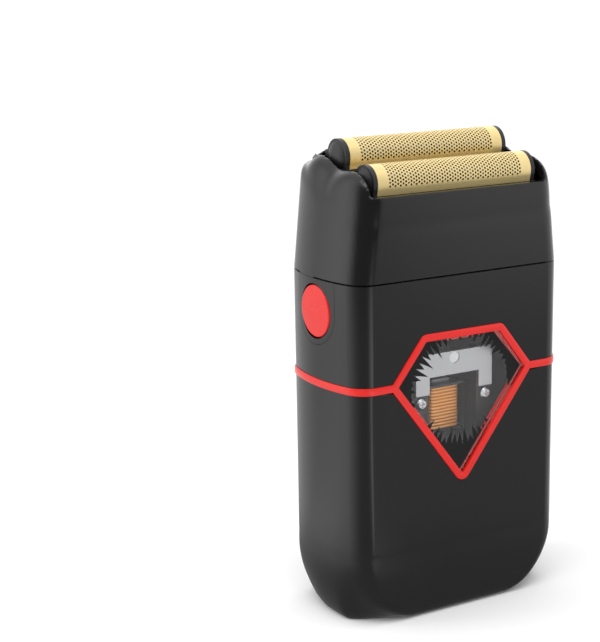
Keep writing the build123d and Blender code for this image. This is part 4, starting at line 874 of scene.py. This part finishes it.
def head_tree():
    """The head as a field of distances: bowed sides leaning in, soft humps, a pocket for the foils."""
    tree, given, result = group_with(
        "head_shell", "GeometryNodeTree",
        [("Low", "NodeSocketVector", None), ("High", "NodeSocketVector", None),
         ("Wall", "NodeSocketFloat", HEAD_WALL), ("Finish", "NodeSocketMaterial", None)],
        [("Mesh", "NodeSocketGeometry")])
    at = put(tree, "ShaderNodeSeparateXYZ", first(tree.nodes.new("GeometryNodeInputPosition")))
    x = maths(tree, "ABSOLUTE", maths(tree, "DIVIDE", at.outputs["X"], MM))
    y = maths(tree, "DIVIDE", at.outputs["Y"], MM)
    z = maths(tree, "DIVIDE", at.outputs["Z"], MM)
    forward, up = shifted(tree, y, -HEAD_MID[0]), shifted(tree, z, -HEAD_MID[1])
    u = maths(tree, "ADD", maths(tree, "MULTIPLY", forward, cos(TILT)),
              maths(tree, "MULTIPLY", up, sin(TILT)))
    v = maths(tree, "SUBTRACT", maths(tree, "MULTIPLY", up, cos(TILT)),
              maths(tree, "MULTIPLY", forward, sin(TILT)))
    # plan: flats in front and behind, bowed sides that lean in, rounded corner strips
    lean = maths(tree, "MULTIPLY", shifted(tree, z, -SEAM_Z), SIDE_LEAN)
    half = maths(tree, "SUBTRACT", HEAD_HALF_WIDTH, lean)
    past_side = maths(tree, "SUBTRACT", x, half)
    side = shifted(tree, length(tree, shifted(tree, past_side, SIDE_BOW_R), y), -SIDE_BOW_R)
    from_middle = maths(tree, "ABSOLUTE", y)
    flat = shifted(tree, from_middle, -HEAD_HALF_DEPTH)
    corner_x = shifted(tree, past_side, CORNER_CENTRE[0])
    corner_y = shifted(tree, from_middle, -CORNER_CENTRE[1])
    corner = shifted(tree, length(tree, corner_x, corner_y), -CORNER_R)
    in_corner = maths(tree, "MULTIPLY",
                      maths(tree, "GREATER_THAN", corner_x, maths(tree, "MULTIPLY", corner_y, CORNER_SLOPES[0])),
                      maths(tree, "GREATER_THAN", corner_y, maths(tree, "MULTIPLY", corner_x, CORNER_SLOPES[1])))
    plain = maths(tree, "MAXIMUM", side, flat)
    around = first(put(tree, "ShaderNodeMix", in_corner, plain, corner, data_type="FLOAT"))
    # humps: rounded bars along X over each foil's end
    tops = None
    for middle, drop, wide, high, start, end in HUMPS:
        across = maths(tree, "DIVIDE", shifted(tree, u, -middle), wide)
        upward = maths(tree, "DIVIDE", maths(tree, "MAXIMUM", shifted(tree, v, -drop), 0.0), high)
        outward = maths(tree, "DIVIDE", maths(tree, "MAXIMUM", shifted(tree, x, -start), 0.0), end - start)
        hump = maths(tree, "MULTIPLY", shifted(tree, length(tree, across, upward, outward), -1.0), high)
        tops = hump if tops is None else blend(tree, "SMOOTH_MIN", tops, hump, HUMP_BLEND)
    block = span(tree, z, (0.0, BLOCK_TOP))
    block = blend(tree, "SMOOTH_MAX", block, shifted(tree, v, -BLOCK_V), BLOCK_BLEND)
    mass = blend(tree, "SMOOTH_MIN", block, tops, MASS_BLEND)
    outer = blend(tree, "SMOOTH_MAX", around, mass, EDGE_BLEND)
    inner = maths(tree, "ADD", outer, given["Wall"])
    # openings
    within = shifted(tree, x, -POCKET_HALF)
    pocket = largest(tree, within, span(tree, u, POCKET_U), span(tree, v, POCKET_V))
    throat = largest(tree, within, span(tree, y, THROAT_Y), span(tree, z, THROAT_Z))
    front_rim = largest(tree, within, span(tree, y, FRONT_RIM_Y), span(tree, z, FRONT_RIM_Z))
    rear_rim = largest(tree, shifted(tree, x, -REAR_RIM_HALF), span(tree, u, REAR_RIM_U),
                       span(tree, v, REAR_RIM_V))
    openings = inner
    for opening in (pocket, throat, front_rim, rear_rim):
        openings = blend(tree, "SMOOTH_MIN", openings, opening, OPENING_BLEND)
    solid = maths(tree, "MAXIMUM", outer, maths(tree, "MULTIPLY", openings, -1.0))
    solid = maths(tree, "MAXIMUM", solid, maths(tree, "SUBTRACT", SEAM_Z - FOOT_SPARE, z))
    size = put(tree, "ShaderNodeSeparateXYZ",
               first(put(tree, "ShaderNodeVectorMath", given["High"], given["Low"], operation="SUBTRACT")))
    counts = [maths(tree, "ROUND", maths(tree, "DIVIDE", size.outputs[axis], VOXEL * MM)) for axis in "XYZ"]
    field = put(tree, "GeometryNodeVolumeCube", maths(tree, "MULTIPLY", solid, -1.0), -5.0, given["Low"],
                given["High"], *counts)
    skin = put(tree, "GeometryNodeVolumeToMesh", first(field))
    for label in ("Threshold", "Adaptivity"):
        skin.inputs[label].default_value = 0.0
    done = put(tree, "GeometryNodeSetMaterial", first(skin), None, given["Finish"])
    tree.links.new(first(done), result["Mesh"])
    return tree


def head():
    """The moulded head with its foot cut square, and the brackets inside lowered to sit under its humps."""
    mesh = from_tree(
        "moulded_head", head_tree(),
        {"Low": [value * MM for value in HEAD_LOW], "High": [value * MM for value in HEAD_HIGH],
         "Finish": FINISHES["black_shell"]})
    shape = bmesh.new()
    shape.from_mesh(mesh)
    rim = cut_flat(shape, (0, 0, (SEAM_Z + SEAM_GAP) * MM), (0, 0, 1), dist=WELD, clear_inner=True)
    bmesh.ops.triangle_fill(shape, edges=rim, use_beauty=True, normal=(0, 0, -1))
    bmesh.ops.recalc_face_normals(shape, faces=shape.faces)
    shape.to_mesh(mesh)
    shape.free()
    settle(mesh_object("moulded_head", mesh), "head_housing")
    mesh.set_sharp_from_angle(angle=HEAD_CREASE_FROM)
    trimmed_cradle("foil_cradle_left", -1)
    trimmed_cradle("foil_cradle_right", 1)


def trimmed_cradle(node, side):
    """The end bracket's wall, cut down to sit under the humps."""
    shape = merged_copy(node)
    top = Vector((side * CRADLE_SLOPE_FROM, *HEAD_MID)) * MM + FOIL_AXIS * CRADLE_TOP * MM
    for slope in (0.0, side * CRADLE_SLOPE):
        rim = cut_flat(shape, top, FOIL_AXIS + Vector((slope, 0, 0)), clear_outer=True)
        bmesh.ops.edgenet_fill(shape, edges=rim)
    settle(mesh_object("trimmed_" + node, mesh_from("trimmed_" + node, shape)), node, smooth=False)


# ---- studio
def panel(name, centre, size, power):
    """A soft rectangular lamp turned towards the shaver."""
    data = bpy.data.lights.new(name, "AREA")
    data.shape = "RECTANGLE"
    data.size, data.size_y = size
    data.energy = power
    lamp = bpy.data.objects.new(name, data)
    lamp.location = centre
    lamp.rotation_euler = (Vector(LAMP_TARGET) - Vector(centre)).to_track_quat("-Z", "Y").to_euler()
    bpy.context.scene.collection.objects.link(lamp)


def glow_curve(tree, turn, points):
    """Brightness against the turn, with two as its highest value."""
    scale = put(tree, "ShaderNodeValToRGB", turn)
    stops = scale.color_ramp.elements
    while len(stops) < len(points):
        stops.new(0.5)
    for stop, (place, value) in zip(stops, points):
        stop.position = place
        stop.color = shade(value / 2, value / 2, value / 2)
    return maths(tree, "MULTIPLY", scale.outputs["Color"], 2.0)


def reflection_bowl():
    """A bowl that only the glossy faces see, light and dark by turns like a studio's cards."""
    turns = [2 * pi * k / BOWL_SIDES for k in range(BOWL_SIDES)]
    shape = bmesh.new()
    rings = [[shape.verts.new((radius * MM * cos(turn), radius * MM * sin(turn), height * MM)) for turn in turns]
             for radius, height in BOWL_PROFILE]
    for lower, upper in zip(rings, rings[1:]):
        for k in range(BOWL_SIDES):
            after = (k + 1) % BOWL_SIDES
            shape.faces.new([lower[k], lower[after], upper[after], upper[k]])
    bowl = mesh_object("reflection_bowl", mesh_from("reflection_bowl", shape))
    finish = bpy.data.materials.new("reflection_glow")
    finish.use_nodes = True
    tree = finish.node_tree
    tree.nodes.remove(tree.nodes["Principled BSDF"])
    place = tree.nodes.new("ShaderNodeTexCoord").outputs["Object"]
    turn = put(tree, "ShaderNodeTexGradient", place, gradient_type="RADIAL").outputs["Fac"]
    height = put(tree, "ShaderNodeSeparateXYZ", place).outputs["Z"]
    rise = put(tree, "ShaderNodeMapRange", height, *LOW_TO_HIGH, interpolation_type="SMOOTHSTEP")
    reach = put(tree, "ShaderNodeVectorMath", place, operation="LENGTH").outputs["Value"]
    outward = put(tree, "ShaderNodeMapRange", reach, *NEAR_TO_FAR, interpolation_type="SMOOTHSTEP")
    low_glow = put(tree, "ShaderNodeMix", first(outward), NEAR_GLOW, glow_curve(tree, turn, LOW_GLOW),
                   data_type="FLOAT")
    glow = put(tree, "ShaderNodeMix", first(rise), first(low_glow), glow_curve(tree, turn, HIGH_GLOW),
               data_type="FLOAT")
    lamp = put(tree, "ShaderNodeEmission", shade(1, 1, 1), first(glow))
    tree.links.new(lamp.outputs[0], tree.nodes["Material Output"].inputs["Surface"])
    bowl.data.materials.append(finish)
    bowl.visible_camera = bowl.visible_diffuse = bowl.visible_transmission = bowl.visible_shadow = False


def studio():
    """A pale room and floor, two soft lamps, the reflection bowl and the camera."""
    scene = bpy.context.scene
    scene.view_settings.view_transform = "Standard"
    world = bpy.data.worlds.new("pale_room")
    world.use_nodes = True
    air = world.node_tree.nodes["Background"].inputs
    air["Color"].default_value = shade(1.0, 1.0, 1.0)
    air["Strength"].default_value = 1.05
    scene.world = world
    bpy.ops.mesh.primitive_plane_add(size=60.0, location=(0, 20.0, -0.02 * MM))
    floor = bpy.context.object
    floor.name = "floor"
    paper, _, surface = bare_finish("floor_paper")
    surface.inputs["Base Color"].default_value = shade(0.97, 0.97, 0.97)
    surface.inputs["Roughness"].default_value = 0.9
    surface.inputs["Specular IOR Level"].default_value = 0.0
    floor.data.materials.append(paper)
    panel("top_panel", (-0.15, -0.25, 0.75), (0.5, 0.5), 1.5)
    panel("side_panel", (-0.55, 0.25, 0.35), (0.25, 0.6), 1.0)
    reflection_bowl()

    lens = bpy.data.cameras.new("camera")
    camera = bpy.data.objects.new("camera", lens)
    scene.collection.objects.link(camera)
    turn, tilt = radians(CAMERA_TURN), radians(CAMERA_TILT)
    back = Vector((sin(turn) * cos(tilt), -cos(turn) * cos(tilt), sin(tilt)))
    camera.location = CAMERA_TARGET + back * CAMERA_DISTANCE
    camera.rotation_euler = (-back).to_track_quat("-Z", "Y").to_euler()
    lens.sensor_width = 36.0
    lens.lens = CAMERA_LENS
    lens.shift_x, lens.shift_y = CAMERA_SHIFT
    scene.camera = camera


dress_cad_nodes()
foils()
springs()
drive_coil()
window_mask()
softened("trim_bezel", TRIM_EDGE)
lower_shell()
for button in ("release_button_left", "release_button_right"):
    softened(button, BUTTON_EDGE)
head()
studio()
